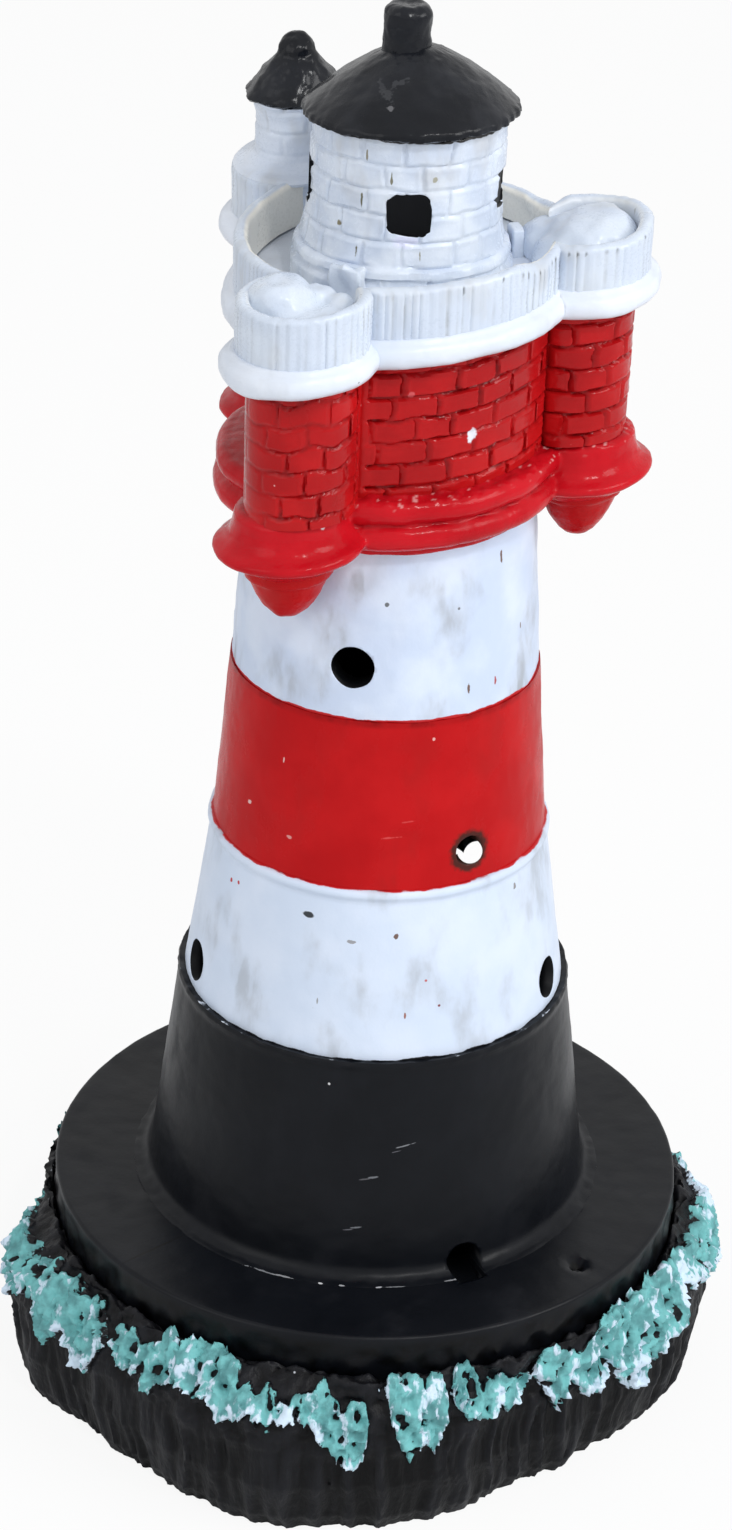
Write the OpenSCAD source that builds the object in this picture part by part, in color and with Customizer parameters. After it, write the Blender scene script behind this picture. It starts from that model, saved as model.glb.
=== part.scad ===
// Aquarium lighthouse ornament: painted resin castings, spigoted together and glued.
// Millimetres. The floor is Z = 0, +Z is up, and -Y is the side that faces the viewer.

/* [Rock base] */
// Height of the rock from the floor to the top of its shoulder
rock_h = 25; // [22:0.2:34]
// Mean radius of the rock where it stands on the floor
rock_foot_r = 45.6; // [45:0.2:54]
// How far the rock swells out past its footprint at its widest
rock_swell = 2.8; // [0.5:0.1:5]
// Height of the highest wave in the rock's outline
rock_wave = 2.5; // [0:0.1:4]
// How far the footprint is pushed over to the right
rock_push_x = -0.2; // [-2:0.1:2]
// How far the footprint is pushed back
rock_push_y = -0.8; // [-2:0.1:2]
// Depth of the round recess that the plinth sits in
recess_depth = 2.8; // [2:0.2:6]
// Width of the shoulder left around the recess
shoulder_w = 1.4; // [1:0.1:3]
// Least thickness of the wall round the recess
shoulder_least = 1; // [0.6:0.1:1.4]
// Height of the highest wave in the shoulder's top edge
shoulder_wave = 0.4; // [0:0.05:0.6]

/* [Surf crust] */
// Thickness of the spongy crust at its fullest
crust_t = 1.6; // [1.2:0.1:3]
// Gap left for glue between the rock and the crust
crust_gap = 0.3; // [0.2:0.05:0.5]

/* [Plinth] */
// Radius of the round plinth
plinth_r = 45; // [43:0.5:48]
// Full height of the plinth, recess included
plinth_h = 8.4; // [7:0.2:12]
// Rounding of the plinth's top edge
plinth_edge_r = 0.8; // [0.3:0.1:1.5]

/* [Tower] */
// Radius of the open shaft through the rock and the plinth
shaft_r = 24; // [20:0.5:26]
// Wall thickness of the tower drums
wall = 3.2; // [2.8:0.1:4]
// Radial thickness of each spigot
lap_t = 1.5; // [1:0.1:1.7]
// Height of each spigot
lap_h = 1.8; // [1:0.1:3]
// Glue clearance round every spigot, pin and seat
fit_gap = 0.15; // [0.1:0.05:0.3]
// Height of the black foot drum
foot_h = 32.6; // [26:0.2:40]
// Outer radius of the foot drum at its base
foot_base_r = 31.2; // [30:0.2:34]
// Outer radius of the foot drum at its top
foot_top_r = 27.3; // [27:0.1:29]
// Radius of the cove where the foot meets the plinth
cove_r = 2; // [0.8:0.1:3]
// How far the foot's top lip stands proud of the drum above
lip_step = 0.7; // [0.2:0.1:1]
// Height of the lower white drum
lower_h = 24.5; // [20:0.5:30]
// Outer radius of the lower white drum at its top
lower_top_r = 23.1; // [22.6:0.1:24.5]
// Radius of the bead round the lower drum's top
bead_r = 0.8; // [0.4:0.1:1.2]
// Height of the red drum
red_h = 24.1; // [18:0.1:30]
// Outer radius of the red drum at its top
red_top_r = 21; // [20.4:0.1:22]
// Height of the upper white drum
upper_h = 23.2; // [20:0.2:30]
// Outer radius of the upper white drum at its top
upper_top_r = 19.4; // [19:0.1:20]
// How far each drum's base is set in from the drum below
drum_step = 0.2; // [0:0.05:0.4]

/* [Ports] */
// Radius of the round water ports in the white drums
port_r = 2.9; // [2.2:0.1:3.4]
// Radius of the round water port in the red drum
red_port_r = 2.4; // [1.6:0.1:3]
// Radius of the round water port at the tower's foot
foot_port_r = 2.6; // [1.6:0.1:3]
// Height of the lower ports' centres above the lower drum's base
lower_port_z = 3.9; // [3.8:0.1:8]
// Height of the red port's centre above the red drum's base
red_port_z = 4.4; // [3.4:0.1:8]
// Height of the upper ports' centres above the upper drum's base
upper_port_z = 7.4; // [4.5:0.1:12]
// Height of the foot port's centre above the plinth
foot_port_z = 1.4; // [1:0.1:4]

/* [Gallery] */
// Radius of the round brick storey
storey_r = 20; // [19:0.1:21.5]
// Radius of each oriel's brick wall
oriel_r = 7.1; // [6.5:0.1:8]
// Distance from the tower's axis to the two plain oriels
oriel_d = 24.3; // [23:0.1:26]
// Distance from the tower's axis to the turret's oriel
turret_d = 25.8; // [24:0.1:27]
// Radius of the hollow in the gallery storey
gallery_bore_r = 15; // [13:0.5:16]
// Height of the red corbel mouldings
corbel_h = 9; // [8:0.2:11]
// How far the corbel's lower roll stands out from the brick
corbel_out = 3.1; // [2:0.1:3.6]
// Radius of the corbel's lower roll
low_roll_r = 1.95; // [1.4:0.05:2.1]
// Radius of the corbel's upper roll
high_roll_r = 1.7; // [1.2:0.05:1.9]
// How far the upper roll is set in from the lower one
roll_step = 0.6; // [0.2:0.1:1.2]
// Radius of the rounded rim on the lip under each oriel
lip_rim_r = 1; // [0.6:0.1:1.4]
// Height of the lip's rim above the corbel's base
lip_rise = 3.6; // [2.6:0.1:4.6]
// Height of the plain wall between the lip's slope and the bricks
lip_wall = 2.2; // [1.2:0.1:3]
// Height of one brick course with its joint
course_h = 3.1; // [2.6:0.1:3.8]
// Number of brick courses in the storey
storey_courses = 6; // [4:1:7]
// Length of one brick with its joint
brick_l = 6; // [4.5:0.1:8]
// Width of a brick joint
joint_w = 0.5; // [0.3:0.05:0.7]
// Depth of a brick joint
joint_d = 0.4; // [0.2:0.05:0.6]
// Height of the white deck's rounded edge
deck_h = 3.2; // [2.8:0.1:4]
// How far the deck's edge stands out from the brick
deck_out = 2.8; // [1.8:0.1:3.4]
// Height of the raised deck floor inside the parapet
floor_h = 0.6; // [0.3:0.1:1]
// Height of the ribbed parapet
parapet_h = 6.6; // [5:0.1:9]
// How far the parapet stands out from the brick
parapet_out = 1.6; // [1.2:0.1:2]
// Thickness of the parapet
parapet_t = 1.7; // [1.2:0.1:2]
// How far the deck's top reaches out past the parapet
parapet_seat = 0.2; // [0.1:0.05:0.4]
// Spacing of the ribs on the parapet
rib_pitch = 1.5; // [1.2:0.1:3]
// Depth of the grooves between the ribs
rib_d = 0.3; // [0.15:0.05:0.5]
// Height of the pendant under each oriel
pendant_h = 6; // [5:0.2:11]
// Radius of the pendant at its top
pendant_r = 6; // [4.5:0.1:6.5]
// Radius of the pendant's rounded tip
pendant_tip_r = 1.8; // [1:0.1:3]
// Height of the domed cap inside each plain oriel
cap_h = 4.4; // [2.5:0.1:5.5]
// Gap between that cap and the parapet round it
cap_gap = 1; // [0.5:0.1:1.5]

/* [Turret] */
// Radius of the turret's wall
turret_r = 5.3; // [4:0.1:6]
// Height of the turret's wall above the deck floor
turret_h = 16.1; // [12:0.1:20]
// Height of the turret's wide base inside the parapet
turret_base_h = 4.6; // [3:0.1:5.5]
// Height of the slope on top of that base
base_slope = 1; // [0.5:0.1:1.5]
// Height of the hollow neck above the slope
neck_h = 2; // [1:0.1:3]
// How far the neck flares out from the turret's wall
neck_flare = 0.4; // [0.2:0.1:0.8]
// How far the turret's eaves stand out from its wall
turret_eaves = 1.1; // [0.5:0.1:2]
// Thickness of the turret's eaves
eaves_t = 0.7; // [0.4:0.1:1.2]
// Height of the turret's pointed roof
turret_roof_h = 8.4; // [6:0.1:12]
// Radius of the turret roof's rounded tip
turret_tip_r = 1.6; // [0.8:0.1:2.2]

/* [Lantern] */
// Radius of the lantern house at its narrowest
lantern_r = 12.5; // [11:0.1:13]
// Radius of the lantern house at its flared base
lantern_base_r = 14.6; // [13.6:0.1:15]
// Height of the plain ledge under the lantern house's bricks
ledge_h = 2.6; // [1.5:0.1:4]
// Height of the slope between the ledge and the bricks
ledge_slope = 0.6; // [0.3:0.1:1.2]
// Number of brick courses in the lantern house
lantern_courses = 6; // [4:1:8]
// Width of the arched windows
window_w = 5.6; // [4:0.1:6.5]
// Height of the arched windows
window_h = 5.4; // [4:0.1:6.5]
// Depth of the windows' recesses
window_d = 1.1; // [0.8:0.1:1.8]
// Thickness of the black window panes
pane_t = 0.8; // [0.5:0.1:1.2]
// Radius of the lantern roof's rim
roof_r = 13.7; // [13:0.1:15]
// Height of the lantern roof's dome above its rim
roof_h = 8; // [5:0.1:10]
// Thickness of the lantern roof's rim
rim_t = 0.8; // [0.5:0.1:1.5]
// Radius of the knob on the roof
knob_r = 3.1; // [2:0.1:4]
// Height of the knob above the roof
knob_h = 5.2; // [3:0.1:8]
// Depth of the knob's seat in the roof
knob_seat = 3; // [2:0.1:4]
// Width of the two door steps beside the lantern house
step_w = 2.2; // [1.5:0.1:3]
// Thickness of the door steps
step_t = 1.5; // [1:0.1:2.5]
// Height of the door steps
step_h = 5.4; // [3:0.1:6]

/* [Hidden] */
$fn = 72;
// Steps in a profile that curves by a formula
curve_steps = 6;

// Small overlap that lets stacked shapes fuse, or a cut pass a face
eps = 0.01;

// Directions of the oriels round the tower, in degrees from +X: right, rear with the turret, front
right_oriel = [1.5, oriel_d];
rear_oriel = [121.5, turret_d];
front_oriel = [241.5, oriel_d];
oriels = [right_oriel, rear_oriel, front_oriel];

// Directions of the ports round the tower
foot_port = 297;
lower_ports = [199, 339, 62];
red_ports = [303];
upper_ports = [259, 174, 13];
// Direction of the first lantern window
window_turn = 5;
window_count = 4;
// Turn of each door step from its oriel
step_turn = 14;

// Heights of the joints between the castings
z_recess = rock_h - recess_depth;
z_foot = z_recess + plinth_h;
z_lower = z_foot + foot_h;
z_red = z_lower + lower_h;
z_upper = z_red + red_h;
z_corbel = z_upper + upper_h;
z_storey = z_corbel + corbel_h;
z_deck = z_storey + storey_courses * course_h;
z_parapet = z_deck + deck_h;
z_floor = z_parapet + floor_h;
z_bricks = z_floor + ledge_h;
z_roof = z_bricks + lantern_courses * course_h;
z_window = z_bricks + course_h * 2;
z_turret_roof = z_floor + turret_h;

// Outer radius of each drum at its base
lower_base_r = foot_top_r - lip_step;
red_base_r = lower_top_r - drum_step;
upper_base_r = red_top_r - drum_step;

// Radius of the open shaft at each joint
lower_bore_r = lower_base_r - wall;
red_bore_r = red_base_r - wall;
upper_bore_r = upper_base_r - wall;
top_bore_r = upper_top_r - wall;

// Radius of the socket for the lantern house and for its roof
lantern_plug_r = 8;
roof_plug_r = 6;
// Radius of the glue pins under the caps, the turret and the pendants
pin_r = 1.6;
pin_h = 2;

// Powers that bend the pendant, the turret's roof, the lantern's flare and its roof
pendant_bend = 1.4;
turret_bend = 1.6;
flare_bend = 1.5;
roof_bend = 1.25;
// Share of the lantern house's height that flares
flare_share = 0.45;

// Waves that make the rock's outline: waves per turn, share of the highest wave, phase in degrees
rock_waves = [[2, 0.48, 330], [3, 0.56, 130], [4, 0.28, 140], [5, 1, 140], [6, 0.68, 20],
    [8, 0.24, 335], [13, 0.14, 20], [21, 0.1, 75]];
rock_steps = 120;
// Waves in the shoulder's top edge, given in the same way
shoulder_waves = [[7, 1, 0], [16, 0.75, 50]];
// Share of the rock's height where its side starts to slope in to the shoulder
slope_share = 0.92;
// Rings up the rock: share of the height, share of the swell, share of the way to the shoulder
rock_rings = [[0, 0, 0], [0.1, 0.45, 0], [0.35, 0.95, 0], [0.62, 1, 0], [0.8, 0.75, 0],
    [slope_share, 0.5, 0.35], [1, 0, 1]];

// Edges of the surf crust round the rock: direction in degrees, lower edge and upper edge. The edges are shares
// of the way up the rock's side, and run past 1 across the shoulder's flat top.
crust_edges = [[176, 0.48, 0.86], [190, 0.54, 0.92], [200, 0.62, 0.95], [206, 0.75, 0.97], [209.5, 0.5, 0.97],
    [213.5, 0.66, 0.98], [216.5, 0.46, 0.96], [221, 0.52, 1], [224.3, 0.78, 0.86], [226.4, 0.7, 0.93],
    [229, 0.68, 0.97], [232, 0.73, 0.93], [234.7, 0.66, 0.95], [236.7, 0.73, 1.2], [239, 0.77, 0.98],
    [241.5, 0.79, 1.7], [246.5, 0.78, 1.8], [248.5, 0.7, 1.1], [251, 0.7, 0.97], [253.6, 0.8, 0.92],
    [256.5, 0.71, 0.96], [259, 0.78, 0.9], [262, 0.77, 0.93], [265, 0.66, 1], [268.5, 0.5, 0.88],
    [271.4, 0.48, 0.93], [272.6, 0.9, 0.8], [275.6, 0.82, 1.2], [278.4, 0.5, 1.2], [281.5, 0.6, 0.97],
    [283, 0.52, 1.2], [285.6, 0.86, 0.85], [288.8, 0.7, 1.5], [290.5, 0.68, 0.95], [294, 0.66, 0.95],
    [298.5, 0.67, 0.9], [301.5, 0.77, 0.88], [304.4, 0.72, 1.1], [307, 0.52, 0.99], [310.3, 0.68, 0.9],
    [314, 0.53, 0.96], [317, 0.48, 1.5], [319.8, 0.63, 1.75], [323, 0.46, 1.75], [327.2, 0.34, 1.7],
    [328.4, 0.54, 1.4], [332, 0.5, 1.3], [337.5, 0.6, 1.4], [339.5, 0.8, 1.1], [345, 0.74, 0.98],
    [352, 0.6, 0.95], [360, 0.48, 0.96], [368, 0.42, 0.97], [378, 0.46, 0.95], [384, 0.7, 0.92],
    [386, 0.9, 0.8], [389, 0.66, 0.97], [397, 0.5, 1.3], [404, 0.72, 0.98], [411, 0.55, 0.94],
    [417, 0.82, 0.9], [419, 0.9, 0.8], [422, 0.62, 1.2], [431, 0.48, 0.97], [438, 0.7, 1.5], [447, 0.56, 0.96],
    [453, 0.84, 0.86], [455, 0.9, 0.8], [459, 0.6, 0.95], [468, 0.46, 1.1], [476, 0.68, 0.95],
    [484, 0.5, 0.98], [491, 0.74, 0.9], [493.5, 0.9, 0.8], [497, 0.6, 1.3], [507, 0.5, 0.96],
    [517, 0.7, 0.98], [527, 0.52, 1], [536, 0.48, 0.86]];
// First and last direction of each piece of the crust
crust_runs = [[176, 223.5], [226.4, 271.8], [275.6, 285], [286.6, 384.3], [388, 415], [420.5, 450],
    [457.5, 491], [495.2, 534.5]];
// Widest step between two slices of the crust, in degrees
crust_step = 3;
// Shares between the last stations of a slice, below its upper edge
crust_rim = [0.08, 0.04];
// Share of the way up where the crust starts to lean over the shoulder, and how long it takes to
crust_lean = [0.7, 0.45];

// Rock outline

function wave_sum(angle, waves) = [for (w = waves) w[1] * sin(w[0] * angle + w[2])] * [for (w = waves) 1];

// A number held between 0 and 1
function held(x) = max(0, min(1, x));

function rock_foot(angle) = rock_foot_r + rock_push_x * cos(angle) + rock_push_y * sin(angle)
    + rock_wave * wave_sum(angle, rock_waves);

// Radius of the shoulder's top edge, which keeps the recess's wall whole
function shoulder(angle) = plinth_r + fit_gap + shoulder_w + shoulder_wave * wave_sum(angle, shoulder_waves);

// Radius of the rock in a direction, at a ring of rock_rings, with room for the wall round the recess
function ring_r(angle, ring) =
    let (r = (rock_foot(angle) + rock_swell * ring[1]) * (1 - ring[2]) + shoulder(angle) * ring[2])
    ring[0] * rock_h > z_recess ? max(r, plinth_r + fit_gap + shoulder_least) : r;

// Radius of the rock in a direction, at a share of its height between two rings
function rock_r(angle, share) =
    let (i = max([for (k = [0 : len(rock_rings) - 2]) if (rock_rings[k][0] <= share) k]))
    let (a = rock_rings[i], b = rock_rings[i + 1], t = (share - a[0]) / (b[0] - a[0]))
    ring_r(angle, a) * (1 - t) + ring_r(angle, b) * t;

// A closed solid through rings of equal length, each a list of points, capped at both ends
module skin(rings) {
    n = len(rings[0]);
    count = len(rings);
    walls = [for (k = [0 : count - 2]) for (i = [0 : n - 1]) let (j = (i + 1) % n)
        each [[k * n + i, (k + 1) * n + j, k * n + j], [k * n + i, (k + 1) * n + i, (k + 1) * n + j]]];
    polyhedron([for (ring = rings) each ring],
        concat(walls, [[for (i = [0 : n - 1]) i]], [[for (i = [n - 1 : -1 : 0]) (count - 1) * n + i]]));
}

module rock_base() {
    color("#141416")
    difference() {
        skin([for (ring = rock_rings) [for (k = [0 : rock_steps - 1])
            let (angle = k * 360 / rock_steps, r = ring_r(angle, ring))
            [r * cos(angle), r * sin(angle), rock_h * ring[0]]]]);
        translate([0, 0, z_recess]) cylinder(h = recess_depth + eps, r = plinth_r + fit_gap);
        translate([0, 0, -eps]) cylinder(h = rock_h, r = shaft_r);
    }
}

function crust_edge(angle, column) = lookup(angle, [for (edge = crust_edges) [edge[0], edge[column]]]);

// Directions of a piece's slices: its ends, the edges given between them, and steps that fill the gaps
function crust_angles(run) =
    let (inner = [for (edge = crust_edges) if (edge[0] > run[0] + 0.5 && edge[0] < run[1] - 0.5) edge[0]])
    let (marks = concat([run[0]], inner, [run[1]]))
    concat([for (k = [0 : len(marks) - 2])
        let (gap = marks[k + 1] - marks[k], steps = ceil(gap / crust_step))
        each [for (j = [0 : steps - 1]) marks[k] + gap * j / steps]], [run[1]]);

// Point of the crust's back, which follows the rock's side and then its shoulder
function crust_back(angle, share) =
    let (over = held(share - 1), lift = held((share - slope_share) / (1 - slope_share)))
    [(rock_r(angle, min(share, 1)) + crust_gap) * (1 - over) + (plinth_r + 2 * fit_gap) * over,
        rock_h * min(share, 1) + crust_gap * lift];

// Thickness of the crust at a share of the way from its lower to its upper edge, with its lumps
function crust_full(angle, part) =
    crust_t * (0.6 + 0.4 * sin(180 * part)) * (0.8 + 0.2 * sin(17 * angle + 200 * part));

// One closed slice of the crust: down its back, then up its face
function crust_slice(angle) =
    let (low = crust_edge(angle, 1), high = crust_edge(angle, 2))
    let (bend = min(high - crust_rim[0], slope_share))
    let (shares = [low, (low + bend) / 2, bend, min(high - crust_rim[1], 1), high])
    let (back = [for (k = [4 : -1 : 0]) crust_back(angle, shares[k])])
    let (face = [for (k = [0 : 4]) let (tip = 90 * held((shares[k] - crust_lean[0]) / crust_lean[1]))
        back[4 - k] + crust_full(angle, k / 4) * [cos(tip), sin(tip)]])
    [for (p = concat(back, face)) [p[0] * cos(angle), p[0] * sin(angle), p[1]]];

module surf_crust() {
    color("#5fa896")
    for (run = crust_runs) skin([for (angle = crust_angles(run)) crust_slice(angle)]);
}

// Tower

// A drum: bored right through, with a spigot below and a rebate above
module drum(z, h, base_r, top_r, base_bore, top_bore) {
    rotate_extrude() difference() {
        union() {
            polygon([[base_bore, z], [base_r, z], [top_r, z + h], [top_bore, z + h]]);
            translate([base_bore, z - lap_h + fit_gap]) square([lap_t - fit_gap, lap_h]);
            children();
        }
        translate([top_bore - wall, z + h - lap_h]) square([wall + lap_t, lap_h + wall]);
    }
}

// Round ports through a drum's wall, each pointing straight out
module ports(directions, z, r) {
    for (angle = directions)
        translate([0, 0, z]) rotate([0, 90, angle]) cylinder(h = foot_base_r + 2 * cove_r, r = r);
}

// The port at the tower's foot, drilled through the foot's wall and into the plinth's top
module foot_port_drill() {
    ports([foot_port], z_foot + foot_port_z, foot_port_r);
}

module plinth() {
    color("#17171a")
    difference() {
        rotate_extrude() difference() {
            union() {
                translate([shaft_r, z_recess]) square([plinth_r - shaft_r, plinth_h - plinth_edge_r]);
                translate([shaft_r, z_recess]) square([plinth_r - plinth_edge_r - shaft_r, plinth_h]);
                translate([plinth_r - plinth_edge_r, z_foot - plinth_edge_r]) circle(r = plinth_edge_r);
            }
            translate([shaft_r - wall, z_foot - lap_h]) square([wall + lap_t, lap_h + wall]);
        }
        foot_port_drill();
    }
}

module tower_foot() {
    color("#17171a")
    difference() {
        drum(z_foot, foot_h, foot_base_r, foot_top_r, shaft_r, lower_bore_r)
            difference() {
                translate([foot_base_r - wall / 2, z_foot]) square([cove_r + wall / 2, cove_r]);
                translate([foot_base_r + cove_r, z_foot + cove_r]) circle(r = cove_r);
            }
        foot_port_drill();
    }
}

module tower_lower_white() {
    color("#e9edf3")
    difference() {
        drum(z_lower, lower_h, lower_base_r, lower_top_r, lower_bore_r, red_bore_r)
            translate([lower_top_r - bead_r / 3, z_red - bead_r]) circle(r = bead_r);
        ports(lower_ports, z_lower + lower_port_z, port_r);
    }
}

module tower_red() {
    color("#b8141a")
    difference() {
        drum(z_red, red_h, red_base_r, red_top_r, red_bore_r, upper_bore_r);
        ports(red_ports, z_red + red_port_z, red_port_r);
    }
}

module tower_upper_white() {
    color("#e9edf3")
    difference() {
        drum(z_upper, upper_h, upper_base_r, upper_top_r, upper_bore_r, top_bore_r);
        ports(upper_ports, z_upper + upper_port_z, port_r);
    }
}

// Gallery

function oriel_centre(oriel) = oriel[1] * [cos(oriel[0]), sin(oriel[0])];

module at_oriel(oriel) {
    translate(oriel_centre(oriel)) children();
}

// Plan of the gallery: the round storey and its three oriels, grown by out
module gallery_plan(out) {
    circle(r = storey_r + out);
    for (oriel = oriels) at_oriel(oriel) circle(r = oriel_r + out);
}

// A moulding round the storey or round one oriel; children give its section, measured out from the brick
module moulding(r) {
    rotate_extrude() intersection() {
        translate([r, 0]) children();
        square([2 * storey_r, 2 * z_deck]);
    }
}

// Section of the corbel round the storey: a lower and an upper roll on a solid core
module corbel_section() {
    translate([-storey_r, z_corbel]) square([storey_r, corbel_h]);
    translate([corbel_out - low_roll_r, z_storey - 2 * high_roll_r - low_roll_r + eps]) circle(r = low_roll_r);
    translate([corbel_out - roll_step - high_roll_r, z_storey - high_roll_r]) circle(r = high_roll_r);
}

// Section of the lip under an oriel: it slopes out to a rounded rim, then back in to the brick
module lip_section() {
    rim = [corbel_out - lip_rim_r, z_corbel + lip_rise];
    lower = rim + lip_rim_r * [cos(-50), sin(-50)];
    upper = rim + lip_rim_r * [cos(60), sin(60)];
    polygon([[-oriel_r, z_corbel], [pendant_r - oriel_r, z_corbel], lower, rim, upper,
        [0, z_storey - lip_wall], [0, z_storey], [-oriel_r, z_storey]]);
    translate(rim) circle(r = lip_rim_r);
}

module gallery_corbel() {
    color("#b8141a")
    difference() {
        union() {
            moulding(storey_r) corbel_section();
            for (oriel = oriels) at_oriel(oriel) moulding(oriel_r) lip_section();
            translate([0, 0, z_corbel - lap_h + fit_gap])
                cylinder(h = lap_h, r = top_bore_r + lap_t - fit_gap);
        }
        translate([0, 0, z_corbel - wall]) cylinder(h = corbel_h + wall + eps, r = gallery_bore_r);
        translate([0, 0, z_storey - lap_h]) cylinder(h = lap_h + eps, r = gallery_bore_r + lap_t);
        for (oriel = oriels) at_oriel(oriel)
            translate([0, 0, z_corbel - eps]) cylinder(h = pin_h + fit_gap, r = pin_r + fit_gap);
    }
}

// A pendant under one oriel, cut back where it meets the tower
module pendant(oriel) {
    z_tip = z_corbel - pendant_h + pendant_tip_r;
    color("#b8141a")
    difference() {
        at_oriel(oriel) {
            rotate_extrude() {
                polygon(concat([for (k = [0 : curve_steps]) let (u = k / curve_steps)
                    [pendant_r + (pendant_tip_r - pendant_r) * pow(u, pendant_bend),
                        z_corbel + (z_tip - z_corbel) * u]],
                    [[0, z_tip], [0, z_corbel]]));
                intersection() {
                    translate([0, z_tip]) circle(r = pendant_tip_r);
                    translate([0, z_tip - pendant_tip_r]) square(pendant_tip_r);
                }
            }
            translate([0, 0, z_corbel - eps]) cylinder(h = pin_h, r = pin_r);
        }
        translate([0, 0, z_upper])
            cylinder(h = upper_h, r1 = upper_base_r + fit_gap, r2 = upper_top_r + fit_gap);
    }
}

module pendant_front() pendant(front_oriel);
module pendant_right() pendant(right_oriel);
module pendant_rear() pendant(rear_oriel);

function far_from(point, centre, r) = norm(point - centre) > r;

// True where a point of the round storey's wall lies outside every oriel
function storey_shows(point, room) = min([for (oriel = oriels)
    far_from(point, oriel_centre(oriel), oriel_r + room) ? 1 : 0]) == 1;

// Upright cuts into the plan's wall, one every pitch along it, where the wall shows
module plan_cuts(out, pitch, width, depth, shift) {
    main_r = storey_r + out;
    lobe_r = oriel_r + out;
    room = out + width;
    main_count = floor(360 / (pitch / main_r * 180 / PI));
    for (k = [0 : main_count - 1]) {
        angle = (k + shift) * 360 / main_count;
        if (storey_shows(main_r * [cos(angle), sin(angle)], room))
            rotate(angle) translate([main_r - depth, -width / 2]) square([2 * depth, width]);
    }
    lobe_count = floor(360 / (pitch / lobe_r * 180 / PI));
    for (oriel = oriels) for (k = [0 : lobe_count - 1]) {
        angle = (k + shift) * 360 / lobe_count;
        point = oriel_centre(oriel) + lobe_r * [cos(angle), sin(angle)];
        if (far_from(point, [0, 0], main_r + width))
            at_oriel(oriel) rotate(angle) translate([lobe_r - depth, -width / 2]) square([2 * depth, width]);
    }
}

module brick_storey() {
    color("#b8141a")
    difference() {
        union() {
            for (k = [0 : storey_courses - 1]) translate([0, 0, z_storey + k * course_h]) {
                linear_extrude(joint_w) gallery_plan(-joint_d);
                translate([0, 0, joint_w]) linear_extrude(course_h - joint_w) difference() {
                    gallery_plan(0);
                    plan_cuts(0, brick_l, joint_w, joint_d, k % 2 / 2);
                }
            }
            translate([0, 0, z_storey - lap_h + fit_gap])
                cylinder(h = lap_h, r = gallery_bore_r + lap_t - fit_gap);
        }
        translate([0, 0, z_storey - wall]) cylinder(h = z_deck - z_storey + 2 * wall, r = gallery_bore_r);
    }
}

// Section of the deck's edge: a rounded nose, drawn in to the foot of the parapet
module deck_section() {
    nose = deck_h * 0.45;
    polygon(concat([[-oriel_r, z_deck]],
        [for (k = [0 : curve_steps]) let (angle = -90 + k * 150 / curve_steps)
            [deck_out - nose + nose * cos(angle), z_deck + nose + nose * sin(angle)]],
        [[parapet_out + parapet_seat, z_parapet], [-oriel_r, z_parapet]]));
}

module gallery_deck() {
    color("#e9edf3")
    difference() {
        union() {
            translate([0, 0, z_deck]) cylinder(h = deck_h, r = storey_r);
            moulding(storey_r) deck_section();
            for (oriel = oriels) at_oriel(oriel) moulding(oriel_r) deck_section();
            translate([0, 0, z_parapet - eps]) linear_extrude(floor_h + eps)
                gallery_plan(parapet_out - parapet_t - fit_gap);
            translate([0, 0, z_deck - lap_h]) cylinder(h = lap_h + eps, r = gallery_bore_r - fit_gap);
        }
        translate([0, 0, z_floor - pin_h]) cylinder(h = pin_h + eps, r = lantern_plug_r + fit_gap);
        for (oriel = oriels) at_oriel(oriel)
            translate([0, 0, z_floor - pin_h]) cylinder(h = pin_h + eps, r = pin_r + fit_gap);
    }
}

module gallery_parapet() {
    color("#e9edf3")
    translate([0, 0, z_parapet]) linear_extrude(parapet_h) difference() {
        gallery_plan(parapet_out);
        gallery_plan(parapet_out - parapet_t);
        plan_cuts(parapet_out, rib_pitch, rib_pitch / 3, rib_d, 0.5);
    }
}

// A low dome inside an oriel's parapet, with the glue pin under it
module oriel_cap(oriel) {
    r = oriel_r + parapet_out - parapet_t - cap_gap;
    ball = (r * r + cap_h * cap_h) / (2 * cap_h);
    color("#e9edf3")
    difference() {
        at_oriel(oriel) {
            translate([0, 0, z_floor]) intersection() {
                translate([0, 0, cap_h - ball]) sphere(r = ball);
                cylinder(h = cap_h, r = r);
            }
            translate([0, 0, z_floor - pin_h + fit_gap]) cylinder(h = pin_h, r = pin_r);
        }
        lantern_clearance();
    }
}

// The lantern house's flared base and the steps beside it, grown by the glue gap
module lantern_clearance() {
    translate([0, 0, z_floor - eps]) cylinder(h = cap_h, r = lantern_base_r + 2 * fit_gap);
}

module oriel_cap_front() oriel_cap(front_oriel);
module oriel_cap_right() oriel_cap(right_oriel);

// Turret

module turret_body() {
    base_r = oriel_r + parapet_out - parapet_t - fit_gap;
    z_neck = z_floor + turret_base_h;
    color("#e9edf3")
    difference() {
        at_oriel(rear_oriel) {
            rotate_extrude() difference() {
                union() {
                    translate([0, z_floor]) square([base_r, turret_base_h - base_slope]);
                    polygon([[0, z_neck - base_slope], [base_r, z_neck - base_slope],
                        [turret_r + neck_flare, z_neck + neck_h / 3], [turret_r, z_neck + neck_h],
                        [turret_r, z_turret_roof], [0, z_turret_roof]]);
                }
                for (k = [1 : 3]) translate([turret_r - joint_d / 2, z_turret_roof - k * course_h])
                    square([joint_d, joint_w / 2]);
                translate([-eps, z_turret_roof - pin_h]) square([pin_r + fit_gap + eps, pin_h + eps]);
            }
            translate([0, 0, z_floor - pin_h + fit_gap]) cylinder(h = pin_h, r = pin_r);
        }
        lantern_clearance();
    }
}

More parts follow.
